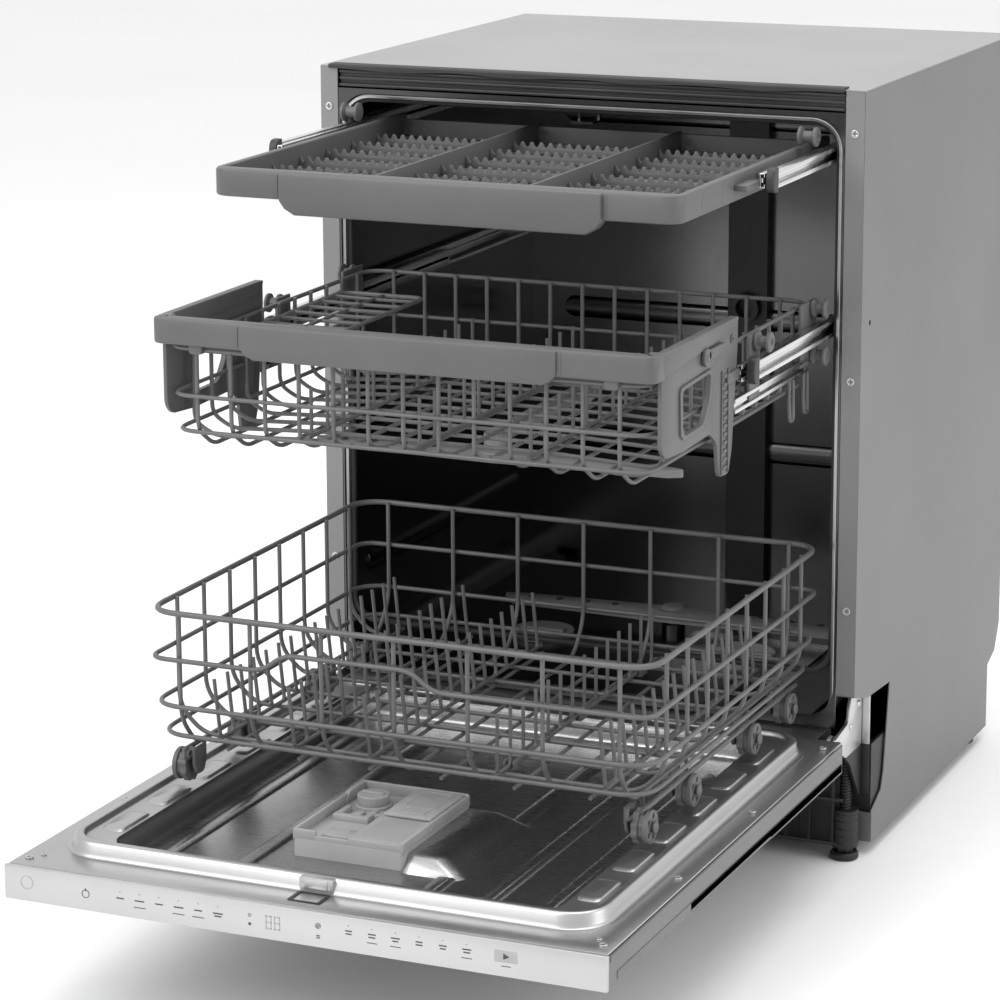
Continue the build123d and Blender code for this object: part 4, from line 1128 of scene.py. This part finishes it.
def make_fixed_rails():
    """Rails on the tub's walls, for the cutlery tray and the middle rack, with their end caps."""
    caps = Shape()
    for node, name in (
        ("tray_fixed_rails", "tray_fixed_channels"), ("middle_fixed_rails", "middle_fixed_channels")
    ):
        low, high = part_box(node)
        fixed = Shape()
        rail_pair(fixed, high.x - 0.0084, high.x, low.y, high.y, low.z, high.z)
        fixed.piece(name, rail_steel, "cabinet", "stainless_fine", [node])
        for side in LEFT_AND_RIGHT:
            end_cap(caps, side, 0.2684, 0.2764, low.y - 0.004, low.z - 0.003, high.z + 0.003)
    caps.piece("rail_end_caps", rack_plastic, "cabinet", "grey_plastic")


def make_runners():
    """Intermediate rails that slide in the fixed ones, with their stops."""
    for node, name, body in (
        ("tray_runners", "tray_runner_channels", "tray_runner"),
        ("middle_runners", "middle_runner_channels", "middle_runner"),
    ):
        low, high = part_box(node)
        runner = Shape()
        rail_pair(runner, high.x, high.x - 0.0074, low.y, high.y, low.z, high.z)
        runner.piece(name, rail_steel, body, "stainless_fine", [node])
        stops = Shape()
        for side in LEFT_AND_RIGHT:
            end_cap(stops, side, 0.2596, 0.2678, low.y - 0.002, low.z - 0.004, high.z + 0.004)
        stops.piece(name + "_stops", dark_plastic, body, "grey_plastic")


def make_tray_slides():
    """Slide bars, guides and rollers of the cutlery tray."""
    low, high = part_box("tray_slides")
    rear_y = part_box("tray_runners")[0].y - 0.004
    bars = Shape()
    rail_pair(bars, 0.2584, 0.2531, rear_y, high.y, low.z, high.z, 0.0036)
    bars.piece("tray_slide_bars", rail_steel, "tray", "stainless_fine", ["tray_slides"])
    guides = Shape()
    guides.pair((0.2398, rear_y - 0.034, low.z + 0.001), (0.2530, rear_y + 0.002, low.z + 0.007), 0.0012)
    for y in ((low.y + high.y) / 2, high.y - 0.032):
        guides.pair((0.2398, y - 0.012, 0.7442), (0.2536, y + 0.012, 0.7498), 0.0008)
    guides.piece("tray_slide_guides", tray_plastic, "tray", "grey_plastic", ["tray_slides"])
    rollers = Shape()
    for side in LEFT_AND_RIGHT:
        spool(rollers, side * 0.2400, high.y - 0.088, 0.7690, side, 0.0200, 0.0098)
    rollers.piece("tray_rollers", rack_plastic, "tray", "grey_plastic")


def make_middle_slides():
    """Slide bars, guides and rollers of the middle rack."""
    low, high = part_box("middle_slides")
    rear_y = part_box("lift_housings")[1].y - 0.004
    bars = Shape()
    rail_pair(bars, 0.2584, 0.2531, rear_y, high.y, low.z, high.z, 0.0038)
    rail_pair(bars, 0.2546, 0.2490, rear_y - 0.006, high.y - 0.030, low.z - 0.030, low.z - 0.016, 0.0036)
    bars.piece("middle_slide_bars", rail_steel, "middle_carriage", "stainless_fine", ["middle_slides"])
    guides = Shape()
    guides.pair((0.2526, rear_y - 0.030, low.z + 0.003), (0.2556, rear_y + 0.002, high.z - 0.003), 0.0010)
    guides.piece("middle_slide_guides", rack_plastic, "middle_carriage", "grey_plastic", ["middle_slides"])
    rollers = Shape()
    for side in LEFT_AND_RIGHT:
        for y, z in ((high.y - 0.016, 0.5960), (high.y - 0.016, 0.5480), (rear_y + 0.052, 0.5935)):
            spool(rollers, side * 0.2535, y, z, side, 0.0165, 0.0098)
        near, far = sorted((side * 0.2500, side * 0.2534))
        rollers.block((near, high.y - 0.050, 0.540), (far, high.y - 0.002, 0.604), 0.0012)
        rollers.block((near, rear_y + 0.036, 0.536), (far, rear_y + 0.066, 0.602), 0.0012)
    rollers.piece("middle_rollers", rack_plastic, "middle_carriage", "grey_plastic")


# ---------------------------------------------------------------- cutlery tray
TRAY_BASE_Z = 0.730
TRAY_CELLS = ((-0.236, -0.0800), (-0.0800, 0.0800), (0.0800, 0.236))


def make_tray():
    """Grey tray with its thick front band and slotted floor."""
    low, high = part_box("tray_body")
    base_z, top_z = TRAY_BASE_Z, high.z
    front_y, back_y = low.y + 0.005, high.y
    side_x = high.x
    shape = Shape()
    corner = 0.020
    path_x = side_x - 0.0002
    path = bent(
        [
            (-side_x + 0.0002, back_y, 0), (-side_x + 0.0002, front_y, 0), (path_x, front_y, 0),
            (path_x, back_y, 0),
        ],
        corner,
        8,
    )
    edge = 0.0026
    band = [
        (0.0, base_z + edge), (0.0, top_z - edge), (-edge * 0.3, top_z - edge * 0.3), (-edge, top_z),
        (-0.0060, top_z), (-0.0074, top_z - 0.0010), (-0.0078, top_z - 0.0030), (-0.0046, base_z + 0.004),
        (-0.0046, base_z), (-edge, base_z), (-edge * 0.3, base_z + edge * 0.3),
    ]
    shape.follow(path, band)
    shape.block((-side_x + 0.0002, back_y - 0.0042, base_z), (side_x - 0.0002, back_y, top_z - 0.006), 0.0014)
    shelf = [
        (-side_x + 0.012, front_y + 0.004), (side_x - 0.012, front_y + 0.004),
        (side_x - 0.005, front_y + 0.018), (-side_x + 0.005, front_y + 0.018),
    ]
    shape.prism(shelf, "z", top_z - 0.0050, top_z - 0.0004, bevel=0.0012)
    shape.block(
        (-side_x + 0.004, front_y + 0.0152, base_z), (side_x - 0.004, front_y + 0.0178, top_z - 0.002), 0.0008
    )
    half = 0.165
    grip = [
        (-half, 0.7560), (-half, 0.7300), (-half + 0.006, 0.7220), (-half + 0.016, 0.7165),
        (half - 0.016, 0.7165), (half - 0.006, 0.7220), (half, 0.7300), (half, 0.7560),
    ]
    shape.prism(grip, "y", low.y + 0.0002, front_y + 0.0120, bevel=0.0026)
    for x in (-half - 0.003, half + 0.003):
        shape.block(
            (x - 0.0012, front_y - 0.0006, base_z + 0.003), (x + 0.0012, front_y + 0.002, top_z - 0.003),
            0.0005,
        )
    for x in (-0.0800, 0.0800):
        shape.block(
            (x - 0.0014, front_y + 0.017, base_z + 0.001), (x + 0.0014, back_y - 0.003, top_z - 0.003), 0.0007
        )
    start, end = front_y + 0.017, back_y - 0.003
    for y in (start, *spread(start + 0.060, end - 0.040, 5), end):
        shape.block(
            (-side_x + 0.004, y - 0.005, base_z), (side_x - 0.004, y + 0.005, base_z + 0.0028), 0.0007
        )
    for low_x, high_x in TRAY_CELLS:
        for x in spread(low_x + 0.004, high_x - 0.004, 13):
            shape.block((x - 0.0030, start, base_z + 0.0002), (x + 0.0030, end, base_z + 0.0026), 0.0006)
    for side in LEFT_AND_RIGHT:
        for y in spread(front_y + 0.06, back_y - 0.05, 7):
            x = side * (side_x - 0.0010)
            near, far = sorted((x, x + side * 0.0010))
            shape.block((near, y - 0.0010, base_z + 0.003), (far, y + 0.0010, top_z - 0.004), 0.0003)
    shape.piece("tray_shell", tray_plastic, "tray", "grey_plastic", ["tray_body"])


def make_tray_combs():
    """Toothed dividers across the tray."""
    low, base_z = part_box("tray_body")[0], TRAY_BASE_Z
    combs = Shape()
    comb_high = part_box("tray_dividers")[1]
    for low_x, high_x in TRAY_CELLS:
        for y in (low.y + 0.125, low.y + 0.185, low.y + 0.245, low.y + 0.305, low.y + 0.365):
            outline = [(low_x + 0.0020, base_z + 0.002), (high_x - 0.0020, base_z + 0.002)]
            teeth, comb_top = 15, comb_high.z - 0.008
            pitch = (high_x - low_x - 0.004) / teeth
            for i in range(teeth):
                x = high_x - 0.002 - pitch * i
                outline += [
                    (x, comb_top), (x - pitch * 0.14, comb_top), (x - pitch * 0.30, base_z + 0.0105),
                    (x - pitch * 0.50, base_z + 0.0085), (x - pitch * 0.70, base_z + 0.0105),
                    (x - pitch * 0.86, comb_top),
                ]
            outline.append((low_x + 0.0020, comb_top))
            combs.prism(outline, "y", y - 0.0010, y + 0.0010, bevel=0.0004)
    combs.piece("tray_combs", tray_plastic, "tray", "grey_plastic", ["tray_dividers"])


# ---------------------------------------------------------------- middle rack
def make_middle_rack():
    """Bent coated wires of the middle rack, with its tines."""
    low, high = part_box("middle_fence")
    x_out = high.x - 0.0022
    front_y, back_y = low.y + 0.0022, high.y - 0.0022
    floor_z, top_z = low.z + 0.0022, high.z - 0.0022
    wires = Wires(0.0021)

    def hoop(z, inset, radius, bend=0.026):
        x, y0, y1 = x_out - inset, front_y + inset, back_y - inset
        corners = [(-x, y0, z), (x, y0, z), (x, y1, z), (-x, y1, z)]
        loop = bent([(0, y0, z), corners[1], corners[2], corners[3], corners[0], (0, y0, z)], bend)
        wires.run(loop[:-1], radius=radius, ring=True)

    hoop(top_z, 0.0, 0.0023)
    hoop(0.5520, 0.001, 0.0020)
    hoop(floor_z + 0.012, 0.004, 0.0021)
    inner = 0.0042
    for x in spread(-x_out + 0.030, x_out - 0.030, 13):
        y0, y1 = front_y + inner, back_y - inner
        lift = 0.006 * math.cos(x * 14.0)
        wires.run(
            [
                (x, y0, top_z + 0.002), (x, y0, floor_z + 0.014), (x, y0 + 0.030, floor_z + lift),
                (x, y1 - 0.030, floor_z + lift), (x, y1, floor_z + 0.014), (x, y1, top_z + 0.002),
            ],
            0.012,
        )
    for y in spread(front_y + 0.045, back_y - 0.040, 11):
        x0 = x_out - inner
        wires.run(
            [
                (-x0, y, top_z + 0.002), (-x0, y, floor_z + 0.012), (-x0 + 0.022, y, floor_z - 0.0006),
                (-0.12, y, floor_z + 0.0040), (0.12, y, floor_z + 0.0040),
                (x0 - 0.022, y, floor_z - 0.0006), (x0, y, floor_z + 0.012), (x0, y, top_z + 0.002),
            ],
            0.010,
        )
    tine_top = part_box("middle_floor")[1].z
    rows = spread(front_y + 0.040, back_y - 0.030, 12)
    for x in (-0.1125, 0.0, 0.1125):
        for one, two in zip(rows[::2], rows[1::2]):
            wires.run(
                [
                    (x, one, tine_top), (x, one, floor_z + 0.009), (x, two, floor_z + 0.009),
                    (x, two, tine_top),
                ],
                0.005,
                0.0018,
            )
        wires.run([(x, rows[0] - 0.008, floor_z + 0.0092), (x, rows[-1] + 0.008, floor_z + 0.0092)])
    for side in LEFT_AND_RIGHT:
        x = side * (x_out + 0.0004)
        for y in (back_y - 0.016, back_y - 0.060):
            wires.run(
                [
                    (x, y, 0.5520), (x, y - 0.002, 0.5080), (x, y + 0.002, 0.4865), (x, y + 0.012, 0.4865),
                    (x, y + 0.010, 0.5280),
                ],
                0.005,
                0.0019,
            )
    wires.piece(
        "middle_rack_wires", nylon_wire, "middle_basket", "coated_wire", ["middle_floor", "middle_fence"]
    )


def make_cup_shelf():
    """Wire shelf that folds up against the side of the middle rack."""
    shelf_low, shelf_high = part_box("cup_shelf")
    shelf = Wires(0.0020)
    z = (shelf_low.z + shelf_high.z) / 2
    x0, x1 = shelf_low.x + 0.0022, shelf_high.x - 0.0022
    y0, y1 = shelf_low.y + 0.002, shelf_high.y - 0.002
    rim = bent(
        [(x0, (y0 + y1) / 2, z), (x0, y0, z), (x1, y0, z), (x1, y1, z), (x0, y1, z), (x0, (y0 + y1) / 2, z)],
        0.014,
    )
    shelf.run(rim[:-1], radius=0.0022, ring=True)
    for y in spread(y0 + 0.022, y1 - 0.022, 10):
        shelf.run(
            [(x0, y, z), (x0 + 0.030, y, z - 0.0004), (x1 - 0.030, y, z - 0.0004), (x1, y, z)], 0.01, 0.0018
        )
    shelf.run([((x0 + x1) / 2, y0, z), ((x0 + x1) / 2, y1, z)], radius=0.0018)
    shelf.piece("cup_shelf_wires", nylon_wire, "shelf", "coated_wire", ["cup_shelf"])


def make_middle_band():
    """Plastic band round the front of the middle rack, with its deeper grip."""
    low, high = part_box("middle_band")
    front_y = low.y + 0.003
    side_x = high.x - 0.0003
    back_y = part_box("lift_housings")[0].y + 0.004
    top_z, base_z = high.z, 0.6026
    edge = 0.0024
    shape = Shape()
    path = bent(
        [(-side_x, back_y, 0), (-side_x, front_y, 0), (side_x, front_y, 0), (side_x, back_y, 0)], 0.016, 8
    )
    section = [
        (0.0, base_z + edge), (0.0, top_z - edge), (-edge * 0.3, top_z - edge * 0.3), (-edge, top_z),
        (-0.0135, top_z), (-0.0150, top_z - 0.0012), (-0.0150, 0.6170), (-0.0125, 0.6160), (-0.0052, 0.6155),
        (-0.0045, base_z), (-edge, base_z), (-edge * 0.3, base_z + edge * 0.3),
    ]
    shape.follow(path, section)
    half = 0.160
    grip = [
        (-half, top_z - 0.0006), (-half, 0.6050), (-half + 0.006, 0.5980), (-half + 0.014, 0.5943),
        (half - 0.014, 0.5943), (half - 0.006, 0.5980), (half, 0.6050), (half, top_z - 0.0006),
    ]
    shape.prism(grip, "y", low.y + 0.0002, front_y + 0.0050, bevel=0.0024)
    for x in (-half - 0.003, half + 0.003):
        shape.block(
            (x - 0.0012, front_y - 0.0006, base_z + 0.003), (x + 0.0012, front_y + 0.002, top_z - 0.003),
            0.0005,
        )
    for x in spread(-0.21, 0.21, 6):
        hook = rounded_rectangle((x - 0.007, 0.594), (x + 0.007, 0.618), 0.003, 3)
        shape.prism(hook, "y", front_y + 0.0046, front_y + 0.0140, bevel=0.0012)
    shape.piece("middle_band_grip", rack_plastic, "middle_basket", "grey_plastic", ["middle_band"])


def make_lift_housings():
    """Height adjusters at both sides: windowed cover, toothed leg and pivot."""
    low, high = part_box("lift_housings")
    inner, outer = 0.2491, high.x
    y0, y1, z0, z1 = low.y, high.y, low.z, high.z
    outline = [
        (y0, z1 - 0.001), (y0, z0 + 0.062), (y0 + 0.010, z0 + 0.051), (y0 + 0.054, z0 + 0.048),
        (y0 + 0.126, z0 + 0.050), (y0 + 0.145, z0 + 0.038), (y0 + 0.152, z0 + 0.003),
        (y0 + 0.178, z0 + 0.001),
        (y0 + 0.187, z0 + 0.022), (y1 - 0.001, z0 + 0.122), (y1 - 0.001, z1 - 0.001),
    ]
    window = [
        (y0 + 0.052, z0 + 0.068), (y0 + 0.050, z0 + 0.106), (y0 + 0.124, z0 + 0.109),
        (y0 + 0.120, z0 + 0.084), (y0 + 0.104, z0 + 0.064), (y0 + 0.058, z0 + 0.063),
    ]
    hole = soft_outline(window, 0.006, 3, closed=True)
    edge = soft_outline(outline, 0.006, 3, closed=True)
    shape = Shape()
    for side in LEFT_AND_RIGHT:
        near, far = sorted((side * inner, side * outer))
        shape.prism(edge, "x", near, far, holes=[hole], bevel=0.0009)
        rib_near, rib_far = sorted((side * (outer - 0.0006), side * (outer + 0.0016)))
        for z in spread(z0 + 0.008, z0 + 0.096, 12):
            shape.block((rib_near, y0 + 0.160, z), (rib_far, y0 + 0.170, z + 0.0036), 0.0006)
        for y in (y0 + 0.1555, y0 + 0.1725):
            shape.block((rib_near, y, z0 + 0.004), (rib_far, y + 0.0026, z0 + 0.104), 0.0007)
        screw_head(shape, (side * (outer - 0.0004), y1 - 0.018, z1 - 0.020), 0.0042, 0.0016, "x", side)
        top_near, top_far = sorted((side * (inner - 0.0030), side * (outer + 0.0022)))
        lip = [
            (y0 + 0.003, z1 - 0.022), (y0 + 0.003, z1 - 0.0006), (y1 - 0.004, z1 - 0.0006),
            (y1 - 0.010, z1 - 0.012),
        ]
        shape.prism(soft_outline(lip, 0.004), "x", top_near, top_far, bevel=0.0010)
        frame_near, frame_far = sorted((side * (outer - 0.0004), side * (outer + 0.0018)))
        centre = sum((Vector((a, b)) for a, b in hole), Vector((0, 0))) / len(hole)
        rim = [tuple(centre + (Vector(p) - centre) * 1.16) for p in hole]
        shape.prism(rim, "x", frame_near, frame_far, holes=[hole], bevel=0.0006)
    shape.piece("lift_covers", rack_plastic, "middle_carriage", "grey_plastic", ["lift_housings"])


def make_lift_levers():
    """Levers that release the height adjusters."""
    lever_low, lever_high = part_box("lift_levers")
    y, z = lever_low.y + 0.009, (lever_low.z + lever_high.z) / 2
    levers = Shape()
    for side in LEFT_AND_RIGHT:
        near, far = sorted((side * 0.2536, side * (lever_high.x - 0.0004)))
        levers.prism(circle((y, z), 0.0086, 28), "x", near, far, bevel=0.0008)
        paddle = rounded_rectangle((y + 0.003, z - 0.0026), (lever_high.y - 0.0004, z + 0.0064), 0.0036, 4)
        levers.prism(paddle, "x", near, far, bevel=0.0008)
        dot_near, dot_far = sorted((side * (lever_high.x - 0.0008), side * lever_high.x))
        levers.prism(circle((y, z), 0.0034, 20), "x", dot_near, dot_far, bevel=0.0002)
    levers.piece("lift_lever_paddles", rack_plastic, "levers", "grey_plastic", ["lift_levers"])


# ---------------------------------------------------------------- lower rack
def wheel_places():
    """Where each pair of wheels stands along the rack."""
    boxes = [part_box(f"wheel_pair_{number}") for number in range(1, 5)]
    return [(low.y + high.y) / 2 for low, high in boxes]


def make_lower_rack():
    """Bent coated wires of the lower rack, with its jogged rail and rows of tines."""
    low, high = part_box("lower_fence")
    x_out = high.x - 0.00275
    front_y, back_y = low.y + 0.00275, high.y - 0.00275
    floor_z, top_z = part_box("lower_floor")[0].z + 0.002, high.z - 0.00275
    tine_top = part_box("lower_floor")[1].z
    wires = Wires(0.0022)
    bend = 0.034

    def hoop(z, inset, radius, jog=0.0, jog_half=0.066, jog_x=-0.047):
        x, y0, y1 = x_out - inset, front_y + inset, back_y - inset
        front_run = [(-x, y0, z)]
        if jog:
            front_run += [
                (jog_x - jog_half - 0.022, y0, z), (jog_x - jog_half, y0, z + jog),
                (jog_x + jog_half, y0, z + jog), (jog_x + jog_half + 0.022, y0, z),
            ]
        front_run.append((x, y0, z))
        first = (-x, (y0 + y1) / 2, z)
        path = bent([first, *front_run, (x, y1, z), (-x, y1, z), first], bend if not jog else 0.020, 7)
        wires.run(path[:-1], radius=radius, ring=True)

    hoop(top_z, 0.0, 0.0029)
    hoop(0.2985, 0.0005, 0.0024, 0.018)
    hoop(0.2520, 0.0010, 0.0024)
    hoop(floor_z + 0.016, 0.0060, 0.0023)
    inner = 0.0048
    side_top = top_z + 0.001
    for x in (-0.226, -0.150, -0.075, 0.0, 0.075, 0.150, 0.226):
        y0, y1 = front_y + inner, back_y - inner
        wires.run(
            [
                (x, y0, side_top), (x, y0, floor_z + 0.034), (x, y0 + 0.030, floor_z),
                (x, y1 - 0.030, floor_z),
                (x, y1, floor_z + 0.034), (x, y1, side_top),
            ],
            0.018,
        )
    for y in spread(front_y + 0.052, back_y - 0.045, 8):
        x0 = x_out - inner
        wires.run(
            [
                (-x0, y, side_top), (-x0, y, floor_z + 0.030), (-x0 + 0.026, y, floor_z + 0.0044),
                (x0 - 0.026, y, floor_z + 0.0044), (x0, y, floor_z + 0.030), (x0, y, side_top),
            ],
            0.016,
        )
    for x in (-0.188, -0.112, -0.037, 0.037, 0.112, 0.188):
        wires.run(
            [(x, front_y + 0.028, floor_z + 0.0002), (x, back_y - 0.028, floor_z + 0.0002)], radius=0.0020
        )
    rows = spread(front_y + 0.036, back_y - 0.034, 16)
    for x in (-0.200, -0.120, -0.040, 0.200):
        base = floor_z + 0.0078
        wires.run([(x, rows[0] - 0.010, base), (x, rows[-1] + 0.010, base)], radius=0.0020)
        for one, two in zip(rows[::2], rows[1::2]):
            lean = 0.006
            wires.run(
                [
                    (x - lean, one, tine_top - 0.001), (x, one, base), (x, two, base),
                    (x - lean, two, tine_top - 0.001),
                ],
                0.006,
                0.0019,
            )
    for side in LEFT_AND_RIGHT:
        x = side * (x_out - 0.0205)
        wires.run(
            [(x, front_y + 0.030, floor_z - 0.0070), (x, back_y - 0.012, floor_z - 0.0070)], radius=0.0026
        )
        for y in wheel_places():
            wires.run(
                [
                    (x - side * 0.0085, y - 0.020, floor_z), (x - side * 0.0085, y - 0.020, floor_z - 0.012),
                    (x - side * 0.0085, y + 0.020, floor_z - 0.012), (x - side * 0.0085, y + 0.020, floor_z),
                ],
                0.005,
                0.0020,
            )
    wires.piece("lower_rack_wires", nylon_wire, "lower_basket", "coated_wire", ["lower_floor", "lower_fence"])


def make_folding_tines():
    """Row of tines that folds flat, and the clips that hold it."""
    floor_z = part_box("lower_floor")[0].z + 0.002
    row_low, row_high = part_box("folding_tines")
    x = (row_low.x + row_high.x) / 2
    z = row_low.z + 0.002
    row = Wires(0.0020)
    row.run([(x, row_low.y, z), (x, row_high.y, z)])
    places = spread(row_low.y + 0.014, row_high.y - 0.014, 14)
    for one, two in zip(places[::2], places[1::2]):
        row.run(
            [(x, one, row_high.z - 0.0005), (x, one, z), (x, two, z), (x, two, row_high.z - 0.0005)], 0.006,
            0.0018,
        )
    row.piece("folding_tine_wires", nylon_wire, "tines", "coated_wire", ["folding_tines"])
    clips = Shape()
    for y in (row_low.y + 0.05, (row_low.y + row_high.y) / 2, row_high.y - 0.05):
        clips.block(
            (x - 0.0065, y - 0.009, floor_z + 0.0045), (x + 0.0065, y + 0.009, floor_z + 0.0062), 0.0008
        )
        for side in LEFT_AND_RIGHT:
            near, far = sorted((x + side * 0.0032, x + side * 0.0064))
            clips.block((near, y - 0.009, floor_z + 0.0050), (far, y + 0.009, floor_z + 0.0125), 0.0012)
    clips.piece("tine_row_clips", rack_plastic, "lower_basket", "grey_plastic")


def make_wheels():
    """Lobed wheels with five holes, on their plastic carriers."""
    carriers = Shape()
    for number in range(1, 5):
        low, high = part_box(f"wheel_pair_{number}")
        y, z, radius = (low.y + high.y) / 2, (low.z + high.z) / 2, (high.z - low.z) / 2
        wheel = Shape()
        centre = (y, z)
        holes = [circle(c, 0.0026, 14) for c in circle(centre, radius * 0.60, 5)]
        hub = circle(centre, 0.0041, 18)
        for side in LEFT_AND_RIGHT:
            outer, inner = side * (high.x - 0.0002), side * (high.x - 0.0158)
            near, far = sorted((outer, outer - side * 0.0046))
            wheel.prism(circle(centre, radius * 0.93, 60), "x", near, far, holes=[*holes, hub], bevel=0.0007)
            near, far = sorted((inner, inner + side * 0.0060))
            lobed = circle(centre, radius - 0.0001, 72, 9, 0.0017)
            wheel.prism(lobed, "x", near, far, holes=[hub], bevel=0.0010)
            near, far = sorted((inner + side * 0.005, outer - side * 0.0040))
            wheel.prism(circle(centre, radius * 0.84, 48, 9, 0.0010), "x", near, far, holes=[hub])
        node = f"wheel_pair_{number}"
        wheel.piece(node + "_rims", wheel_plastic, f"wheels_{number}", "grey_plastic", [node])
        carry_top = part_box("wheel_carriers")[1].z
        for side in LEFT_AND_RIGHT:
            near, far = sorted((side * 0.2222, side * 0.2258))
            leg = [
                (y - 0.012, carry_top), (y - 0.012, z + 0.004), (y - 0.007, z - 0.0078),
                (y + 0.007, z - 0.0078), (y + 0.012, z + 0.004), (y + 0.012, carry_top),
            ]
            carriers.prism(soft_outline(leg, 0.005), "x", near, far, bevel=0.0008)
            profile = [
                (0.0, 0.0), (0.0037, 0.0), (0.0037, 0.0250), (0.0062, 0.0254), (0.0062, 0.0262),
                (0.0050, 0.0272), (0.0, 0.0276),
            ]
            carriers.lathe([(r, side * h) for r, h in profile], (side * 0.2235, y, z), "x", 24)
    carriers.piece("wheel_carrier_arms", rack_plastic, "lower_basket", "grey_plastic", ["wheel_carriers"])


# ---------------------------------------------------------------- spray arms
def make_spray_arm(node, name, body):
    """Two-bladed arm with crowned blades, raised jets and a hub."""
    low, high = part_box(node)
    middle = (low + high) / 2
    reach = (high.x - low.x) / 2
    width = (high.y - low.y) / 2
    hub = high.z - low.z
    thick = hub * 0.74
    shape = Shape()
    loops = []
    for t in spread(-1.0, 1.0, 33):
        share = abs(t)
        half = width * (1.0 - 0.42 * share) * math.sqrt(
            max(0.0, 1.0 - max(0.0, (share - 0.93) / 0.072) ** 2)
        ) * 0.86
        half = max(half, 0.0015)
        x = middle.x + t * reach
        crown = thick * (1.0 - 0.25 * share)
        section = [
            (-half, 0.0006), (-half, crown * 0.45), (-half * 0.8, crown * 0.80), (-half * 0.45, crown),
            (half * 0.45, crown), (half * 0.8, crown * 0.80), (half, crown * 0.45), (half, 0.0006),
            (half * 0.85, 0.0), (-half * 0.85, 0.0),
        ]
        loops.append([Vector((x, middle.y + a, low.z + b)) for a, b in section])
    shape.loft(loops)
    hub_profile = [
        (0.0, low.z + 0.0004), (width * 0.80, low.z + 0.0004), (width * 0.84, low.z + thick),
        (width * 0.62, low.z + thick + 0.001), (width * 0.52, high.z - 0.001), (width * 0.40, high.z),
        (0.0, high.z),
    ]
    shape.lathe(hub_profile, (middle.x, middle.y, 0.0), sides=36)
    jets = Shape()
    for i in (-5, -4, -3, -2, 2, 3, 4, 5):
        x = middle.x + i * reach / 6
        y = middle.y + math.copysign(width * 0.22, i)
        z = low.z + thick * (1.0 - 0.25 * abs(i) / 6) - 0.0006
        slit = rounded_rectangle((x - 0.0022, y - 0.0007), (x + 0.0022, y + 0.0007), 0.0006, 3)
        jets.prism(circle((x, y), 0.0040, 20), "z", z, z + 0.0014, holes=[slit], bevel=0.0003)
    shape.piece(name, arm_plastic, body, "grey_plastic", [node])
    jets.piece(name + "_jets", dark_plastic, body, "grey_plastic")


# ---------------------------------------------------------------- studio
def add_light(name, place, target, size, power):
    """Square soft light that faces a point."""
    data = bpy.data.lights.new(name, "AREA")
    data.energy = power
    data.size = size
    made = bpy.data.objects.new(name, data)
    bpy.context.scene.collection.objects.link(made)
    made.location = place
    made.rotation_euler = (Vector(target) - Vector(place)).to_track_quat("-Z", "Y").to_euler()


def make_studio():
    """Pale floor, soft lights, white surroundings and the camera."""
    shape = bmesh.new()
    bmesh.ops.create_grid(shape, x_segments=8, y_segments=8, size=9.0)
    data = bpy.data.meshes.new("studio_floor")
    shape.to_mesh(data)
    shape.free()
    floor = bpy.data.objects.new("studio_floor", data)
    bpy.context.scene.collection.objects.link(floor)
    floor.location.z = cad_low.z - 0.0004
    data.materials.append(studio_white)

    world = bpy.data.worlds.new("studio_world")
    bpy.context.scene.world = world
    world.use_nodes = True
    world.node_tree.nodes["Background"].inputs["Color"].default_value = (1.0, 1.0, 1.0, 1.0)
    world.node_tree.nodes["Background"].inputs["Strength"].default_value = 1.0
    add_light("key_light", (-1.6, -2.6, 2.6), (0.0, 0.0, 0.3), 2.4, 70.0)
    add_light("top_light", (0.4, 0.2, 3.4), (0.0, 0.1, 0.4), 2.6, 55.0)
    add_light("side_light", (3.4, 0.2, 1.4), (0.0, 0.2, 0.4), 2.0, 25.0)

    bpy.context.scene.view_settings.view_transform = "Standard"
    camera_data = bpy.data.cameras.new("studio_camera")
    camera = bpy.data.objects.new("studio_camera", camera_data)
    bpy.context.scene.collection.objects.link(camera)
    turn, tilt, roll = 0.41731, 0.21925, -0.0052
    look = Vector((-math.sin(turn) * math.cos(tilt), math.cos(turn) * math.cos(tilt), -math.sin(tilt)))
    level = Vector((math.cos(turn), math.sin(turn), 0.0))
    upward = level.cross(look)
    right = level * math.cos(roll) + upward * math.sin(roll)
    up = upward * math.cos(roll) - level * math.sin(roll)
    camera.matrix_world = Matrix(
        (
            (right.x, up.x, -look.x, 1.34523),
            (right.y, up.y, -look.y, -3.24632),
            (right.z, up.z, -look.z, 1.25180),
            (0.0, 0.0, 0.0, 1.0),
        )
    )
    camera_data.sensor_width = 36.0
    camera_data.lens = 126.77
    camera_data.shift_x = 0.0244
    camera_data.shift_y = -0.0793
    bpy.context.scene.camera = camera


make_moisture_strip()
make_front_rail()
make_tub_mouth()
make_seal_bead()
make_tub_ribs()
make_side_details()
make_back_ribs()
make_base_ribs()
make_feet()
make_springs()
make_liner_rim()
make_liner_pan()
make_dispenser_ramp()
make_latch()
make_door_screws()
make_door_flanks()
make_control_strip()
make_touch_marks()
make_dispenser_box()
make_dispenser_lid()
make_rinse_aid_knob()
make_dispenser_trim()
make_hinges()
make_fixed_rails()
make_runners()
make_tray_slides()
make_middle_slides()
make_tray()
make_tray_combs()
make_middle_rack()
make_cup_shelf()
make_middle_band()
make_lift_housings()
make_lift_levers()
make_lower_rack()
make_folding_tines()
make_wheels()
make_spray_arm("lower_spray_arm", "lower_arm_blades", "lower_arm")
make_spray_arm("middle_spray_arm", "middle_arm_blades", "middle_arm")
make_spray_arm("top_spray_arm", "top_arm_blades", "top_arm")
make_studio()
